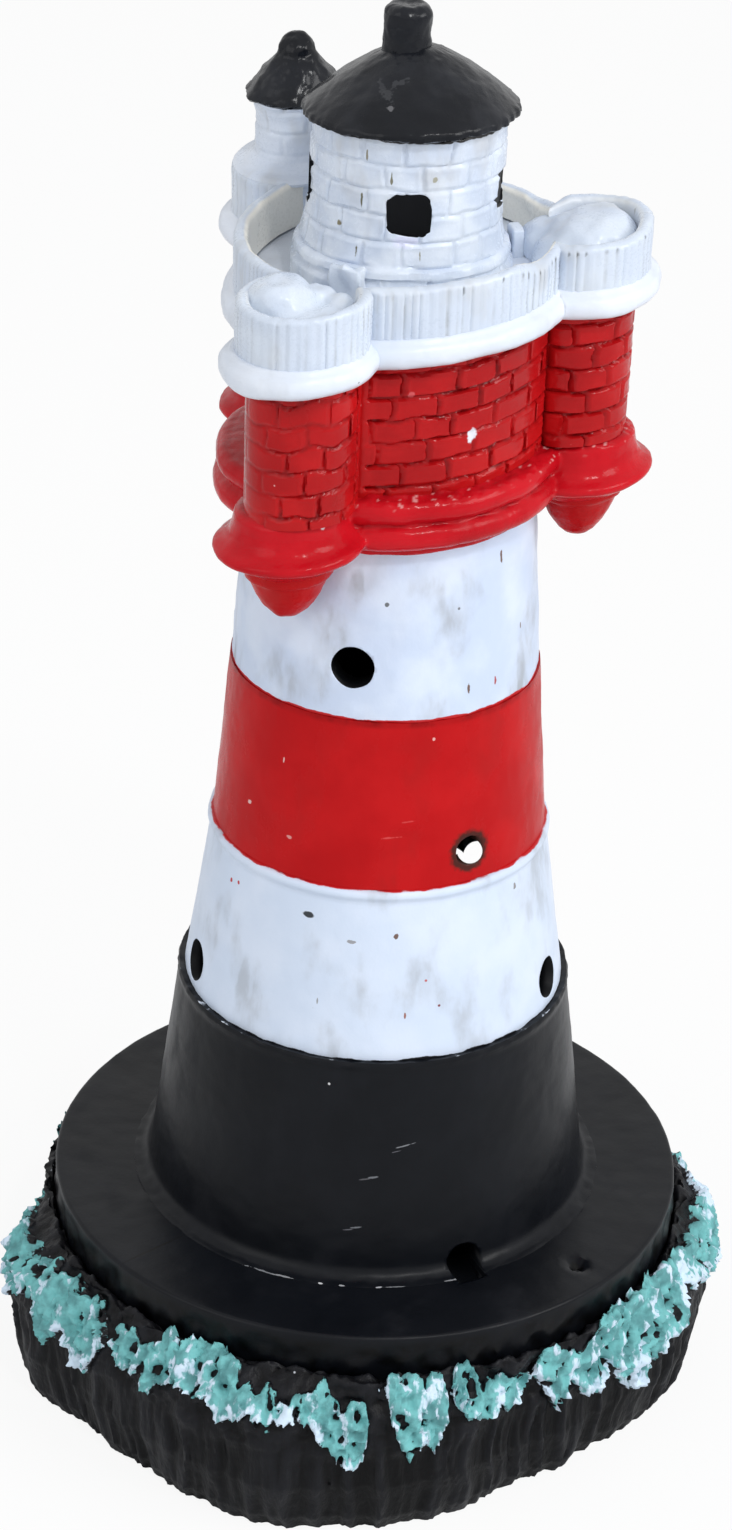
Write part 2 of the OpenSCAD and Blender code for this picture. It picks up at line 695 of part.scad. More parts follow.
// Pointed roof with a hollow-sided flare, from eaves to a rounded tip
module turret_roof() {
    eaves_r = turret_r + turret_eaves;
    z_tip = z_turret_roof + turret_roof_h - turret_tip_r;
    color("#141416")
    at_oriel(rear_oriel) rotate_extrude() {
        polygon(concat([[0, z_turret_roof], [eaves_r - eaves_t / 2, z_turret_roof]],
            [for (k = [0 : curve_steps]) let (u = k / curve_steps)
                [turret_tip_r + (eaves_r - turret_tip_r) * pow(1 - u, turret_bend),
                    z_turret_roof + eaves_t + (z_tip - z_turret_roof - eaves_t) * u]],
            [[0, z_tip]]));
        intersection() {
            translate([0, z_tip]) circle(r = turret_tip_r);
            translate([0, z_tip]) square(turret_tip_r * 2);
        }
        translate([0, z_turret_roof - pin_h + fit_gap]) square([pin_r, pin_h]);
    }
}

// Lantern

// Radius of the lantern house at a share of its brickwork's height: flared below, straight above
function lantern_at(share) =
    lantern_r + (lantern_base_r - lantern_r) * pow(held(1 - share / flare_share), flare_bend);

// An arched window's outline, standing on its sill at the origin
module arch(w, h) {
    rise = w * 0.28;
    r = (w * w / 4 + rise * rise) / (2 * rise);
    translate([-w / 2, 0]) square([w, h - rise]);
    intersection() {
        translate([0, h - r]) circle(r = r);
        translate([-w / 2, h - rise - eps]) square([w, 2 * rise]);
    }
}

module at_windows() {
    for (k = [0 : window_count - 1]) rotate(window_turn + k * 360 / window_count)
        translate([lantern_r - window_d, 0, z_window]) rotate([90, 0, 90]) children();
}

module lantern_house() {
    joints = floor(2 * PI * lantern_r / brick_l);
    height = z_roof - z_bricks;
    flare_steps = 2 * lantern_courses;
    color("#e9edf3")
    difference() {
        union() {
            rotate_extrude() difference() {
                polygon(concat(
                    [[0, z_floor], [lantern_base_r, z_floor], [lantern_base_r, z_bricks - ledge_slope]],
                    [for (k = [0 : flare_steps])
                        [lantern_at(k / flare_steps), z_bricks + height * k / flare_steps]],
                    [[0, z_roof]]));
                for (k = [0 : lantern_courses - 1])
                    translate([lantern_at(k / lantern_courses) - joint_d, z_bricks + k * course_h])
                    square([lantern_base_r, joint_w]);
            }
            translate([0, 0, z_floor - pin_h + fit_gap]) cylinder(h = pin_h, r = lantern_plug_r);
        }
        for (k = [0 : lantern_courses - 1]) for (j = [0 : joints - 1])
            rotate((j + k % 2 / 2) * 360 / joints)
            translate([lantern_at((k + 0.7) / lantern_courses) - joint_d, -joint_w / 2, 0])
            translate([0, 0, z_bricks + k * course_h]) cube([lantern_base_r, joint_w, course_h]);
        at_windows() linear_extrude(lantern_base_r) arch(window_w, window_h);
        translate([0, 0, z_roof - pin_h]) cylinder(h = pin_h + eps, r = roof_plug_r + fit_gap);
    }
}

module lantern_windows() {
    color("#101012")
    at_windows() linear_extrude(pane_t)
        translate([0, fit_gap]) arch(window_w - 2 * fit_gap, window_h - 2 * fit_gap);
}

// Roof with slightly full slopes, on a thin upright rim
module lantern_roof() {
    color("#141416")
    rotate_extrude() difference() {
        union() {
            polygon(concat([for (k = [0 : curve_steps]) let (u = 1 - k / curve_steps)
                [roof_r * u, z_roof + rim_t + roof_h * (1 - pow(u, roof_bend))]],
                [[0, z_roof], [roof_r, z_roof]]));
            translate([0, z_roof - pin_h + fit_gap]) square([roof_plug_r, pin_h]);
        }
        translate([-eps, z_roof + rim_t + roof_h - knob_seat])
            square([knob_r + fit_gap + eps, knob_seat + knob_h]);
    }
}

module roof_knob() {
    z_top = z_roof + rim_t + roof_h + knob_h;
    z_seat = z_roof + rim_t + roof_h - knob_seat + fit_gap;
    edge = knob_r * 0.4;
    color("#141416")
    rotate_extrude() {
        translate([0, z_seat]) square([knob_r, z_top - z_seat - edge]);
        translate([0, z_seat]) square([knob_r - edge, z_top - z_seat]);
        translate([knob_r - edge, z_top - edge]) circle(r = edge);
    }
}

module door_steps() {
    color("#f2f4f8")
    for (oriel = [right_oriel, front_oriel]) rotate(oriel[0] + step_turn)
        translate([lantern_base_r + fit_gap, -step_w / 2, z_floor]) cube([step_t, step_w, step_h]);
}

rock_base();
surf_crust();
plinth();
tower_foot();
tower_lower_white();
tower_red();
tower_upper_white();
gallery_corbel();
pendant_front();
pendant_right();
pendant_rear();
brick_storey();
gallery_deck();
gallery_parapet();
oriel_cap_front();
oriel_cap_right();
turret_body();
turret_roof();
lantern_house();
lantern_windows();
lantern_roof();
roof_knob();
door_steps();
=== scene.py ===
"""The looks of an aquarium lighthouse ornament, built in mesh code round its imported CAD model.

Shapes are worked out in millimetres, in the model's own frame: +Z is up the tower and -Y faces the
viewer. Each class below is one sub-assembly. It holds its sizes, builds its castings, and gives them
their hand-painted finish.
"""
import logging
import math
from dataclasses import dataclass, field
from enum import Enum
from functools import cached_property
from typing import Callable, Sequence

import bmesh
import bpy
from mathutils import Matrix, Vector, noise


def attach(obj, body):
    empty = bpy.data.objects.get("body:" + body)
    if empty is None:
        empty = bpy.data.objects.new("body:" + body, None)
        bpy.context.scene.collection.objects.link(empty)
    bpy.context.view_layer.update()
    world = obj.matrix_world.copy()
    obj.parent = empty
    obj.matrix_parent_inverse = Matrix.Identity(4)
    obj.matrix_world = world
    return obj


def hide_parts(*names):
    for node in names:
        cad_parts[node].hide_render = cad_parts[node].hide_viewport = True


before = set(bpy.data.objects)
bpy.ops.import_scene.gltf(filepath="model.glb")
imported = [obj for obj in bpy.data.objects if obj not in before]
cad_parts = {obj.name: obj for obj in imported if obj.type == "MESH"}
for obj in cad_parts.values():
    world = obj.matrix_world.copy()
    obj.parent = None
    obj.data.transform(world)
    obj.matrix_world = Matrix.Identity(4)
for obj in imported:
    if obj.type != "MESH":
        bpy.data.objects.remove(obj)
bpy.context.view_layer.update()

LOG = logging.getLogger("lighthouse")

MM = 0.001
BODY = "root"
Colour = tuple[float, float, float]
Profile = list[tuple[float, float]]


# Small maths


def smooth(low: float, high: float, value: float) -> float:
    """Eases from 0 to 1 as value goes from low to high.

    Args:
        low: The value that gives 0.
        high: The value that gives 1.
        value: The value to ease.

    Returns:
        A share from 0 to 1.
    """
    share = min(1.0, max(0.0, (value - low) / (high - low)))
    return share * share * (3 - 2 * share)


def blend(start: float, end: float, share: float) -> float:
    """Returns the value that lies share of the way from start to end."""
    return start + (end - start) * share


def chance(*keys: float) -> float:
    """Gives a steady random number for a set of keys.

    Args:
        keys: Numbers that name one brick, lump or speck.

    Returns:
        A number from 0 to 1, the same on each run.
    """
    total = sum(key * step for key, step in zip(keys, (12.9898, 78.233, 37.719, 9.151)))
    return math.sin(total) * 43758.5453 % 1.0


def murmur(x: float, y: float, z: float) -> float:
    """Returns soft noise round 0 at a place."""
    return noise.noise(Vector((x, y, z)))


def ripple(point: Vector, size: float, octaves: int = 3) -> float:
    """Reads fractal noise at a point.

    Args:
        point: The point, in millimetres.
        size: Size of the largest lumps in millimetres.
        octaves: How many finer layers are added.

    Returns:
        A number round 0, mostly from -1 to 1.
    """
    return noise.fractal(point / size, 0.9, 2.1, octaves)


def polar(radius: float, degrees: float, height: float = 0.0) -> Vector:
    """Returns the point at a radius, direction and height."""
    angle = math.radians(degrees)
    return Vector((radius * math.cos(angle), radius * math.sin(angle), height))


def finely(profile: Profile, step: float) -> Profile:
    """Divides a profile's straight runs.

    Args:
        profile: Points of radius and height.
        step: Longest run to leave, in millimetres.

    Returns:
        The same line with more points.
    """
    fine = [profile[0]]
    for (r0, z0), (r1, z1) in zip(profile, profile[1:]):
        count = max(1, math.ceil(math.hypot(r1 - r0, z1 - z0) / step))
        fine += [(blend(r0, r1, k / count), blend(z0, z1, k / count)) for k in range(1, count + 1)]
    return fine


def bow(centre: tuple[float, float], radius: float, first: float, last: float, steps: int) -> Profile:
    """Draws a circular arc in a profile.

    Args:
        centre: The arc's centre, as radius and height.
        radius: The arc's own radius in millimetres.
        first: Direction of its first point in degrees.
        last: Direction of its last point in degrees.
        steps: How many straight runs it gets.

    Returns:
        The arc's points, from first to last.
    """
    return [
        (centre[0] + radius * math.cos(math.radians(blend(first, last, k / steps))),
         centre[1] + radius * math.sin(math.radians(blend(first, last, k / steps))))
        for k in range(steps + 1)
    ]


# Shaders


class Wire:
    """One output of a shader node. Sums on it add Math nodes to its sheet."""

    def __init__(self, sheet: "Sheet", socket: bpy.types.NodeSocket) -> None:
        """Keeps the sheet and the socket."""
        self.sheet = sheet
        self.socket = socket

    def _math(self, operation: str, *values: "Wire | float") -> "Wire":
        """Adds one Math node for an operation on some values."""
        return self.sheet.node("ShaderNodeMath", {"operation": operation}, dict(enumerate(values)))

    def __add__(self, other: "Wire | float") -> "Wire":
        """Returns self + other."""
        return self._math("ADD", self, other)

    def __radd__(self, other: float) -> "Wire":
        """Returns other + self."""
        return self._math("ADD", other, self)

    def __sub__(self, other: "Wire | float") -> "Wire":
        """Returns self - other."""
        return self._math("SUBTRACT", self, other)

    def __rsub__(self, other: float) -> "Wire":
        """Returns other - self."""
        return self._math("SUBTRACT", other, self)

    def __mul__(self, other: "Wire | float") -> "Wire":
        """Returns self * other."""
        return self._math("MULTIPLY", self, other)

    def __rmul__(self, other: float) -> "Wire":
        """Returns other * self."""
        return self._math("MULTIPLY", other, self)

    def either(self, other: "Wire | float") -> "Wire":
        """Returns the larger of self and other."""
        return self._math("MAXIMUM", self, other)

    def step(self, low: float, high: float) -> "Wire":
        """Eases from 0 to 1 as the value goes from low to high.

        Args:
            low: The value that gives 0.
            high: The value that gives 1.

        Returns:
            The eased value.
        """
        settings = {"interpolation_type": "SMOOTHSTEP"}
        return self.sheet.node("ShaderNodeMapRange", settings, {0: self, 1: low, 2: high, 3: 0.0, 4: 1.0})

    def sibling(self, output: str) -> "Wire":
        """Returns another output of the same node."""
        return Wire(self.sheet, self.socket.node.outputs[output])


class Sheet:
    """The node tree of one finish, or of the world."""

    def __init__(self, owner: bpy.types.Material | bpy.types.World) -> None:
        """Empties the owner's node tree.

        Args:
            owner: The material or the world that the tree belongs to.
        """
        owner.use_nodes = True
        self.owner = owner
        self.tree = owner.node_tree
        self.tree.nodes.clear()

    @cached_property
    def place(self) -> Wire:
        """Object coordinates in millimetres.

        Returns:
            The wire that holds them.
        """
        metres = self.node("ShaderNodeTexCoord", {}, {}, "Object")
        scale = {"Vector": metres, "Scale": 1 / MM}
        return self.node("ShaderNodeVectorMath", {"operation": "SCALE"}, scale)

    def node(
        self, kind: str, settings: dict[str, object],
        values: dict[int | str, "Wire | float | Sequence[float]"], output: int | str = 0,
    ) -> Wire:
        """Adds one node.

        Args:
            kind: Blender's name for the node's type.
            settings: The node's own settings, set before its sockets.
            values: A value or a wire for each socket, by number or name.
            output: The output that is wanted.

        Returns:
            That output.
        """
        node = self.tree.nodes.new(kind)
        for key, value in settings.items():
            setattr(node, key, value)
        for key, value in values.items():
            if isinstance(value, Wire):
                self.tree.links.new(value.socket, node.inputs[key])
            else:
                node.inputs[key].default_value = value
        return Wire(self, node.outputs[output])

    def grain(
        self, size: float, detail: float = 3.0, stretch: Colour = (1, 1, 1), shift: float = 0.0,
    ) -> Wire:
        """Reads soft noise, round 0.5.

        Args:
            size: Size of its lumps in millimetres.
            detail: How many finer layers it has.
            stretch: How much finer it is along each axis.
            shift: Moves the pattern, so that two layers differ.

        Returns:
            The noise.
        """
        settings = {"Location": (shift, shift, shift), "Scale": stretch}
        place = self.node("ShaderNodeMapping", {}, {"Vector": self.place, **settings})
        return self.node("ShaderNodeTexNoise", {}, {"Vector": place, "Scale": 1 / size, "Detail": detail})

    def specks(self, spacing: float, radius: float, share: float, shift: float = 0.0) -> Wire:
        """Scatters small round specks.

        Args:
            spacing: Distance between the places that may hold a speck, in millimetres.
            radius: Radius of a speck in millimetres.
            share: Share of those places that hold one.
            shift: Moves the pattern, so that two layers differ.

        Returns:
            1 inside a speck and 0 outside.
        """
        place = self.node("ShaderNodeMapping", {}, {"Vector": self.place, "Location": (shift, shift, shift)})
        ring = self.node("ShaderNodeTexVoronoi", {}, {"Vector": place, "Scale": 1 / spacing})
        lot = self.node("ShaderNodeSeparateColor", {}, {"Color": ring.sibling("Color")})
        size = radius / spacing
        return (1 - ring.step(size * 0.7, size * 1.2)) * lot.step(1 - share, 1 - share + 0.01)

    def mark(self, name: str) -> Wire:
        """Reads a named mark of the mesh."""
        return self.node("ShaderNodeAttribute", {"attribute_name": name}, {}, "Fac")

    def mix(self, share: Wire | float, under: Wire | Colour, over: Wire | Colour) -> Wire:
        """Lays one colour over another.

        Args:
            share: How much of the upper colour shows.
            under: The lower colour.
            over: The upper colour.

        Returns:
            The mixed colour.
        """
        pair = [value if isinstance(value, Wire) else (*value, 1.0) for value in (under, over)]
        return self.node("ShaderNodeMix", {"data_type": "RGBA"}, {0: share, 6: pair[0], 7: pair[1]}, 2)

    def paint(
        self, colour: Wire | Colour, roughness: Wire | float, height: Wire, depth: float, shine: float = 0.5,
    ) -> bpy.types.Material:
        """Ends the tree with a painted surface.

        Args:
            colour: The paint's colour.
            roughness: Its roughness.
            height: A height for its relief, from 0 to 1.
            depth: How deep that relief is, in millimetres.
            shine: How strongly it mirrors light, where 0.5 is plain plastic.

        Returns:
            The finished material.
        """
        relief = self.node("ShaderNodeBump", {}, {"Strength": 1.0, "Distance": depth * MM, "Height": height})
        surface = self.node(
            "ShaderNodeBsdfPrincipled", {},
            {"Base Color": colour if isinstance(colour, Wire) else (*colour, 1.0), "Roughness": roughness,
             "Normal": relief, "Specular IOR Level": shine},
        )
        self.finish(surface)
        return self.owner

    def touched(self, touch: "Touch") -> Wire:
        """Marks the place of one small touch of paint.

        Args:
            touch: The touch.

        Returns:
            1 inside the touch and 0 outside.
        """
        centre = polar(touch.reach, touch.degrees, touch.height)
        turn = (math.radians(touch.tilt), 0.0, math.radians(touch.degrees))
        scale = (touch.deep, touch.half[0], touch.half[1])
        place = self.node(
            "ShaderNodeMapping", {"vector_type": "TEXTURE"},
            {"Vector": self.place, "Location": centre, "Rotation": turn, "Scale": scale},
        )
        far = self.node("ShaderNodeVectorMath", {"operation": "LENGTH"}, {"Vector": place}, "Value")
        ragged = self.grain(0.7, 3.0, shift=touch.reach + touch.height)
        return 1 - (far + 1.6 * touch.ragged * (ragged - 0.5)).step(0.75, 1.05)

    def finish(self, surface: Wire) -> None:
        """Links a surface to the owner's output."""
        end = self.tree.nodes.new("ShaderNodeOutput" + type(self.owner).__name__)
        self.tree.links.new(surface.socket, end.inputs["Surface"])


@dataclass(frozen=True)
class Touch:
    """One small touch of paint, glue, dirt, painted highlight or painted shade: where it lies, half its
    width and height, and its colour.
    """

    degrees: float
    height: float
    reach: float
    half: tuple[float, float]
    colour: Colour
    ragged: float = 0.5
    deep: float = 1.5
    tilt: float = 0.0


@dataclass(frozen=True)
class Hem:
    """A neighbour's paint that strays over a joint, up to a height or down to it."""

    height: float
    over: bool
    colour: Colour
    stray: float = 0.9


@dataclass(frozen=True)
class Enamel:
    """Enamel brushed on by hand: its colour drifts, and it holds dirt and specks. In some finishes its
    crevice mark paints shade into creases, seams and hollows, its inner mark paints shade inside the drums,
    and its chips carry painted glints.
    """

    colour: Colour
    drift: Colour
    smudge: Colour
    joint: Colour = (0.05, 0.045, 0.035)
    speck: Colour = (0.03, 0.03, 0.035)
    drift_size: float = 9.0
    smudge_size: float = 7.0
    smudge_share: float = 0.5
    joint_share: float = 0.6
    # Near-black painted shade for the inside of the hollow drums.
    inner: Colour = (0.006, 0.006, 0.008)
    speck_size: float = 0.2
    speck_share: float = 0.12
    gloss: float = 0.3
    shine: float = 0.3
    grain_depth: float = 0.05
    hems: tuple[Hem, ...] = ()
    touches: tuple[Touch, ...] = ()

    def dress(self, name: str) -> bpy.types.Material:
        """Makes the material.

        Args:
            name: The material's name.

        Returns:
            The material.
        """
        sheet = Sheet(bpy.data.materials.new(name))
        drift = sheet.grain(self.drift_size, 4.0).step(0.36, 0.68)
        colour = sheet.mix(drift, self.colour, self.drift)
        smudge = sheet.grain(self.smudge_size, 6.0, (1, 1, 0.6), 31.0).step(0.5, 0.72)
        wiped = 0.45 + 0.55 * sheet.grain(1.8, 4.0, (1, 1, 0.3), 71.0).step(0.4, 0.6)
        colour = sheet.mix(smudge * wiped * self.smudge_share, colour, self.smudge)
        # Crevice darkening: dark joints and grime on brickwork and ribs, darker underside of the deck, and
        # painted shade in the corbel's crease and seam, at the red drum's top and on the plinth's side.
        patchiness = sheet.grain(2.6, 4.0, shift=57.0).step(0.4, 0.66)
        crevice = sheet.mark("crevice")
        colour = sheet.mix(crevice * (0.35 + 0.65 * patchiness) * self.joint_share, colour, self.joint)
        speck = sheet.specks(3.4, self.speck_size, self.speck_share, 11.0)
        colour = sheet.mix(speck * 0.8, colour, self.speck)
        for hem in self.hems:
            height = sheet.node("ShaderNodeSeparateXYZ", {}, {0: sheet.place}, "Z")
            stray = hem.stray * (sheet.grain(3.0, 5.0, (1, 1, 0.2), hem.height) - 0.5)
            above = (height + stray).step(hem.height - 0.05, hem.height + 0.05)
            colour = sheet.mix(above if hem.over else 1 - above, colour, hem.colour)
        for touch in self.touches:
            colour = sheet.mix(sheet.touched(touch) * 0.95, colour, touch.colour)
        # Chips mark: real chips on the parapet, painted glints on the corbel's seam.
        colour = sheet.mix(sheet.mark("chips_and_glints"), colour, self.speck)
        # The inner mark lays painted shade, near black, on the drums' inner walls; on the parapet it lays a
        # beige that is lightened as painted light where the wall lies in shade.
        colour = sheet.mix(sheet.mark("inner"), colour, self.inner)
        brush = sheet.grain(1.3, 3.0, (1, 1, 0.5), 7.0)
        fine = sheet.grain(0.45, 2.0, shift=3.0)
        height = 0.62 * brush + 0.3 * fine - 0.3 * speck
        roughness = self.gloss + 0.16 * smudge + 0.1 * fine - 0.05
        return sheet.paint(colour, roughness, height, self.grain_depth, self.shine)


@dataclass(frozen=True)
class Boulder:
    """Black paint on rough rock: half glossy, greyer on what stands out, with painted glints on the
    shoulder.
    """

    deep: Colour = (0.0015, 0.0015, 0.002)
    worn: Colour = (0.011, 0.0115, 0.0145)
    # Colour of the painted glints: light specks standing in for highlights on the glossy shoulder.
    spark: Colour = (0.55, 0.58, 0.64)
    gloss: float = 0.3

    def dress(self, name: str) -> bpy.types.Material:
        """Makes the material.

        Args:
            name: The material's name.

        Returns:
            The material.
        """
        sheet = Sheet(bpy.data.materials.new(name))
        streak = sheet.grain(1.3, 4.0, (1, 1, 0.07))
        crest = sheet.mark("crest")
        colour = sheet.mix((0.55 * streak + 0.6 * crest).step(0.3, 0.85), self.deep, self.worn)
        # Painted highlights: light specks scattered over the rock's shoulder as glints.
        glint = sheet.specks(1.5, 0.16, 0.3, 5.0) * sheet.mark("top") * sheet.grain(7.0, 2.0).step(0.45, 0.6)
        colour = sheet.mix(glint * 0.8, colour, self.spark)
        fine = sheet.grain(0.5, 3.0, (1, 1, 0.35), 5.0)
        height = 0.6 * streak + 0.4 * fine
        return sheet.paint(colour, self.gloss + 0.2 * fine, height, 0.3, 0.13)


@dataclass(frozen=True)
class Foam:
    """Turquoise paint dabbed with white over black pitted rock."""

    sea: Colour = (0.105, 0.300, 0.315)
    mint: Colour = (0.185, 0.520, 0.530)
    white: Colour = (0.66, 0.80, 0.94)
    rock: Colour = (0.004, 0.004, 0.006)

    def dress(self, name: str) -> bpy.types.Material:
        """Makes the material.

        Args:
            name: The material's name.

        Returns:
            The material.
        """
        sheet = Sheet(bpy.data.materials.new(name))
        dabs = sheet.grain(2.4, 4.0, shift=4.0)
        colour = sheet.mix(dabs.step(0.36, 0.62), self.sea, self.mint)
        # White froth paint, plus a painted highlight that whitens the crust towards its right side.
        froth_and_sheen = sheet.mark("froth_and_sheen")
        lace = sheet.grain(0.9, 4.0, (1, 1, 0.3), 19.0)
        colour = sheet.mix((froth_and_sheen + 1.4 * lace - 0.7).step(0.46, 0.72), colour, self.white)
        cover = sheet.mark("cover")
        ragged = sheet.grain(0.8, 4.0, (1, 1, 0.6), 43.0)
        bare = 1 - (cover + 0.9 * ragged - 0.45).step(0.36, 0.46)
        pit = sheet.mark("pit")
        colour = sheet.mix(bare.either((pit + 0.4 * ragged - 0.2).step(0.42, 0.6)), colour, self.rock)
        fine = sheet.grain(0.4, 3.0, shift=2.0)
        return sheet.paint(colour, 0.5 + 0.2 * fine - 0.2 * bare, 0.7 * fine + 0.4 * dabs, 0.12, 0.25)


BLACK_INK = (0.006, 0.006, 0.008)
RED_INK = (0.50, 0.008, 0.012)
WHITE_INK = (0.78, 0.85, 0.96)
RUST_INK = (0.14, 0.07, 0.045)


class Finish(Enum):
    """The finishes of the ornament, each with the record's slot and its paint."""

    ROCK = ("black_rock", Boulder())
    SURF = ("surf_crust", Foam())
    BLACK = ("black_paint", Enamel(
        colour=(0.0028, 0.0036, 0.0056), drift=(0.0045, 0.0055, 0.008), smudge=(0.010, 0.011, 0.015),
        # Painted shade: this near-black joint colour darkens the plinth's side under its rim.
        joint=(0.0004, 0.0004, 0.0006), joint_share=1.0,
        smudge_share=0.3, speck=(0.3, 0.3, 0.33), speck_size=0.12, speck_share=0.02, gloss=0.34, shine=0.15,
        grain_depth=0.03, hems=(Hem(63.5, True, WHITE_INK, 1.1),), touches=(
            # Painted highlights: light streaks where the glossy foot catches the light.
            Touch(280.6, 50.9, 28.9, (1.4, 0.1), (0.20, 0.21, 0.23), 0.9, tilt=12),
            Touch(278.4, 50.1, 28.9, (0.7, 0.08), (0.12, 0.12, 0.14), 0.9, tilt=12),
            Touch(272.3, 46.2, 29.5, (0.9, 0.16), (0.16, 0.17, 0.19), 1.0, tilt=8),
            Touch(270.2, 45.9, 29.5, (0.8, 0.1), (0.09, 0.09, 0.1), 1.0, tilt=8),
            Touch(268.3, 38.5, 30.5, (0.7, 0.13), (0.16, 0.17, 0.19), 1.0, tilt=8),
            Touch(266.3, 38.1, 30.5, (0.8, 0.1), (0.12, 0.12, 0.14), 1.0, tilt=8),
            Touch(259.0, 59.7, 27.7, (0.2, 0.2), (0.6, 0.6, 0.62)),
            # Painted glints: light dashes along the glue seam between the foot and the plinth.
            Touch(246.0, 30.7, 33.4, (2.4, 0.3), (0.20, 0.21, 0.23), 1.2, 0.13),
            Touch(251.5, 30.7, 33.4, (1.6, 0.3), (0.28, 0.29, 0.31), 1.2, 0.13),
            Touch(260.5, 30.7, 33.4, (0.35, 0.3), (0.62, 0.63, 0.66), 0.6, 0.16),
            Touch(265.6, 30.7, 33.4, (0.5, 0.3), (0.40, 0.41, 0.44), 0.8, 0.13),
            Touch(274.4, 30.7, 33.4, (0.5, 0.3), (0.45, 0.46, 0.50), 0.8, 0.15),
            Touch(278.3, 30.7, 33.4, (1.8, 0.3), (0.22, 0.23, 0.25), 1.2, 0.12),
            Touch(292.5, 30.7, 33.4, (1.3, 0.3), (0.26, 0.27, 0.29), 1.2, 0.12),
            Touch(222.3, 30.6, 40.0, (0.2, 1.5), (0.001, 0.001, 0.001), 0.5, 6.0),
            # Painted shade: the plinth's dimple is painted near black.
            Touch(319.3, 30.6, 39.7, (1.2, 1.5), (0.0005, 0.0005, 0.0005), 0.2, 1.2),
        ),
    ))
    WHITE = ("white_paint", Enamel(
        colour=(0.58, 0.675, 0.85), drift=(0.69, 0.775, 0.92), smudge=(0.34, 0.36, 0.39),
        smudge_share=0.8, smudge_size=8.0, speck=(0.10, 0.09, 0.09), speck_share=0.1, gloss=0.38,
        hems=(Hem(112.1, False, RED_INK),), touches=(
            Touch(269.9, 128.3, 19.7, (0.32, 0.32), (0.12, 0.13, 0.14)),
            Touch(302.7, 115.6, 20.6, (0.22, 0.8), RUST_INK, 1.2),
            Touch(315.0, 115.5, 20.6, (0.2, 0.7), (0.4, 0.05, 0.05), 1.2),
            Touch(318.6, 132.6, 19.4, (0.25, 1.0), RUST_INK, 1.5),
            Touch(331.4, 121.2, 20.2, (0.15, 0.5), RUST_INK, 1.0),
        ),
    ))
    WHITE_LOWER = ("white_paint", Enamel(
        colour=(0.63, 0.725, 0.88), drift=(0.69, 0.775, 0.92), smudge=(0.38, 0.41, 0.45),
        smudge_share=0.6, speck=(0.14, 0.13, 0.13), speck_share=0.09, gloss=0.38,
        hems=(Hem(87.62, True, RED_INK, 0.5), Hem(63.35, False, BLACK_INK, 1.1)), touches=(
            Touch(247.9, 83.0, 23.8, (0.85, 0.5), (0.004, 0.004, 0.005), 0.3),
            Touch(213.9, 82.9, 23.8, (0.3, 0.35), RED_INK, 1.0),
            Touch(217.9, 83.3, 23.7, (0.25, 0.3), RED_INK, 1.0),
            Touch(277.0, 81.3, 24.0, (0.3, 0.4), RUST_INK, 1.4),
            Touch(262.7, 80.2, 24.2, (0.6, 0.25), (0.3, 0.3, 0.32), 1.4),
            Touch(322.9, 84.3, 23.6, (0.25, 0.6), (0.25, 0.24, 0.24), 1.5),
            Touch(280.3, 69.7, 25.7, (0.16, 0.5), (0.3, 0.1, 0.06)),
            Touch(286.8, 74.6, 25.0, (0.2, 0.2), (0.5, 0.1, 0.1)),
            Touch(291.0, 70.7, 25.5, (0.22, 0.2), (0.2, 0.03, 0.04)),
            Touch(253.3, 71.0, 25.5, (0.12, 0.5), (0.3, 0.31, 0.33)),
        ),
    ))
    RED = ("red_paint", Enamel(
        colour=(0.455, 0.0055, 0.0075), drift=(0.52, 0.008, 0.010), smudge=(0.40, 0.012, 0.012),
        # Painted shade: the joint colour darkens the groove at the drum's top, under the upper drum's edge.
        joint=(0.10, 0.002, 0.003), speck=(0.75, 0.42, 0.40), speck_size=0.14,
        speck_share=0.05, gloss=0.24, shine=0.08,
        touches=(
            Touch(303.0, 92.1, 22.6, (3.3, 3.3), (0.050, 0.018, 0.014), 0.25, 2.5),
            Touch(233.6, 104.0, 21.6, (0.14, 0.45), (0.8, 0.5, 0.48), 1.4),
            Touch(218.9, 95.5, 22.3, (0.4, 0.35), (0.75, 0.5, 0.48), 1.4),
            Touch(238.2, 93.2, 22.5, (0.4, 0.3), (0.7, 0.3, 0.28), 1.2),
            Touch(288.8, 109.3, 21.2, (0.2, 0.25), (0.75, 0.4, 0.38), 1.0),
            # Painted highlights: two thin light red streaks on the drum's front.
            Touch(274.1, 95.4, 22.3, (1.3, 0.14), (0.62, 0.07, 0.07), 1.4, tilt=6),
            Touch(280.4, 97.7, 22.1, (1.0, 0.1), (0.60, 0.06, 0.06), 1.4, tilt=6),
        ),
    ))
    CORBEL = ("red_paint", Enamel(
        colour=(0.46, 0.004, 0.010), drift=(0.56, 0.008, 0.016), smudge=(0.36, 0.004, 0.009),
        # Painted shade: the joint colour darkens the crease between the rolls and the seam with the bricks.
        joint=(0.14, 0.002, 0.004), joint_share=0.8, speck=(0.8, 0.45, 0.45),
        speck_size=0.16, speck_share=0.08, gloss=0.17, shine=0.13, grain_depth=0.08,
        touches=(Touch(252.4, 142.3, 29.0, (0.35, 0.75), (0.8, 0.72, 0.76), 0.7, 4.0),),
    ))
    BORE = ("red_paint", Enamel(
        colour=(0.055, 0.020, 0.016), drift=(0.030, 0.014, 0.012), smudge=(0.10, 0.05, 0.04),
        gloss=0.5, shine=0.2,
    ))
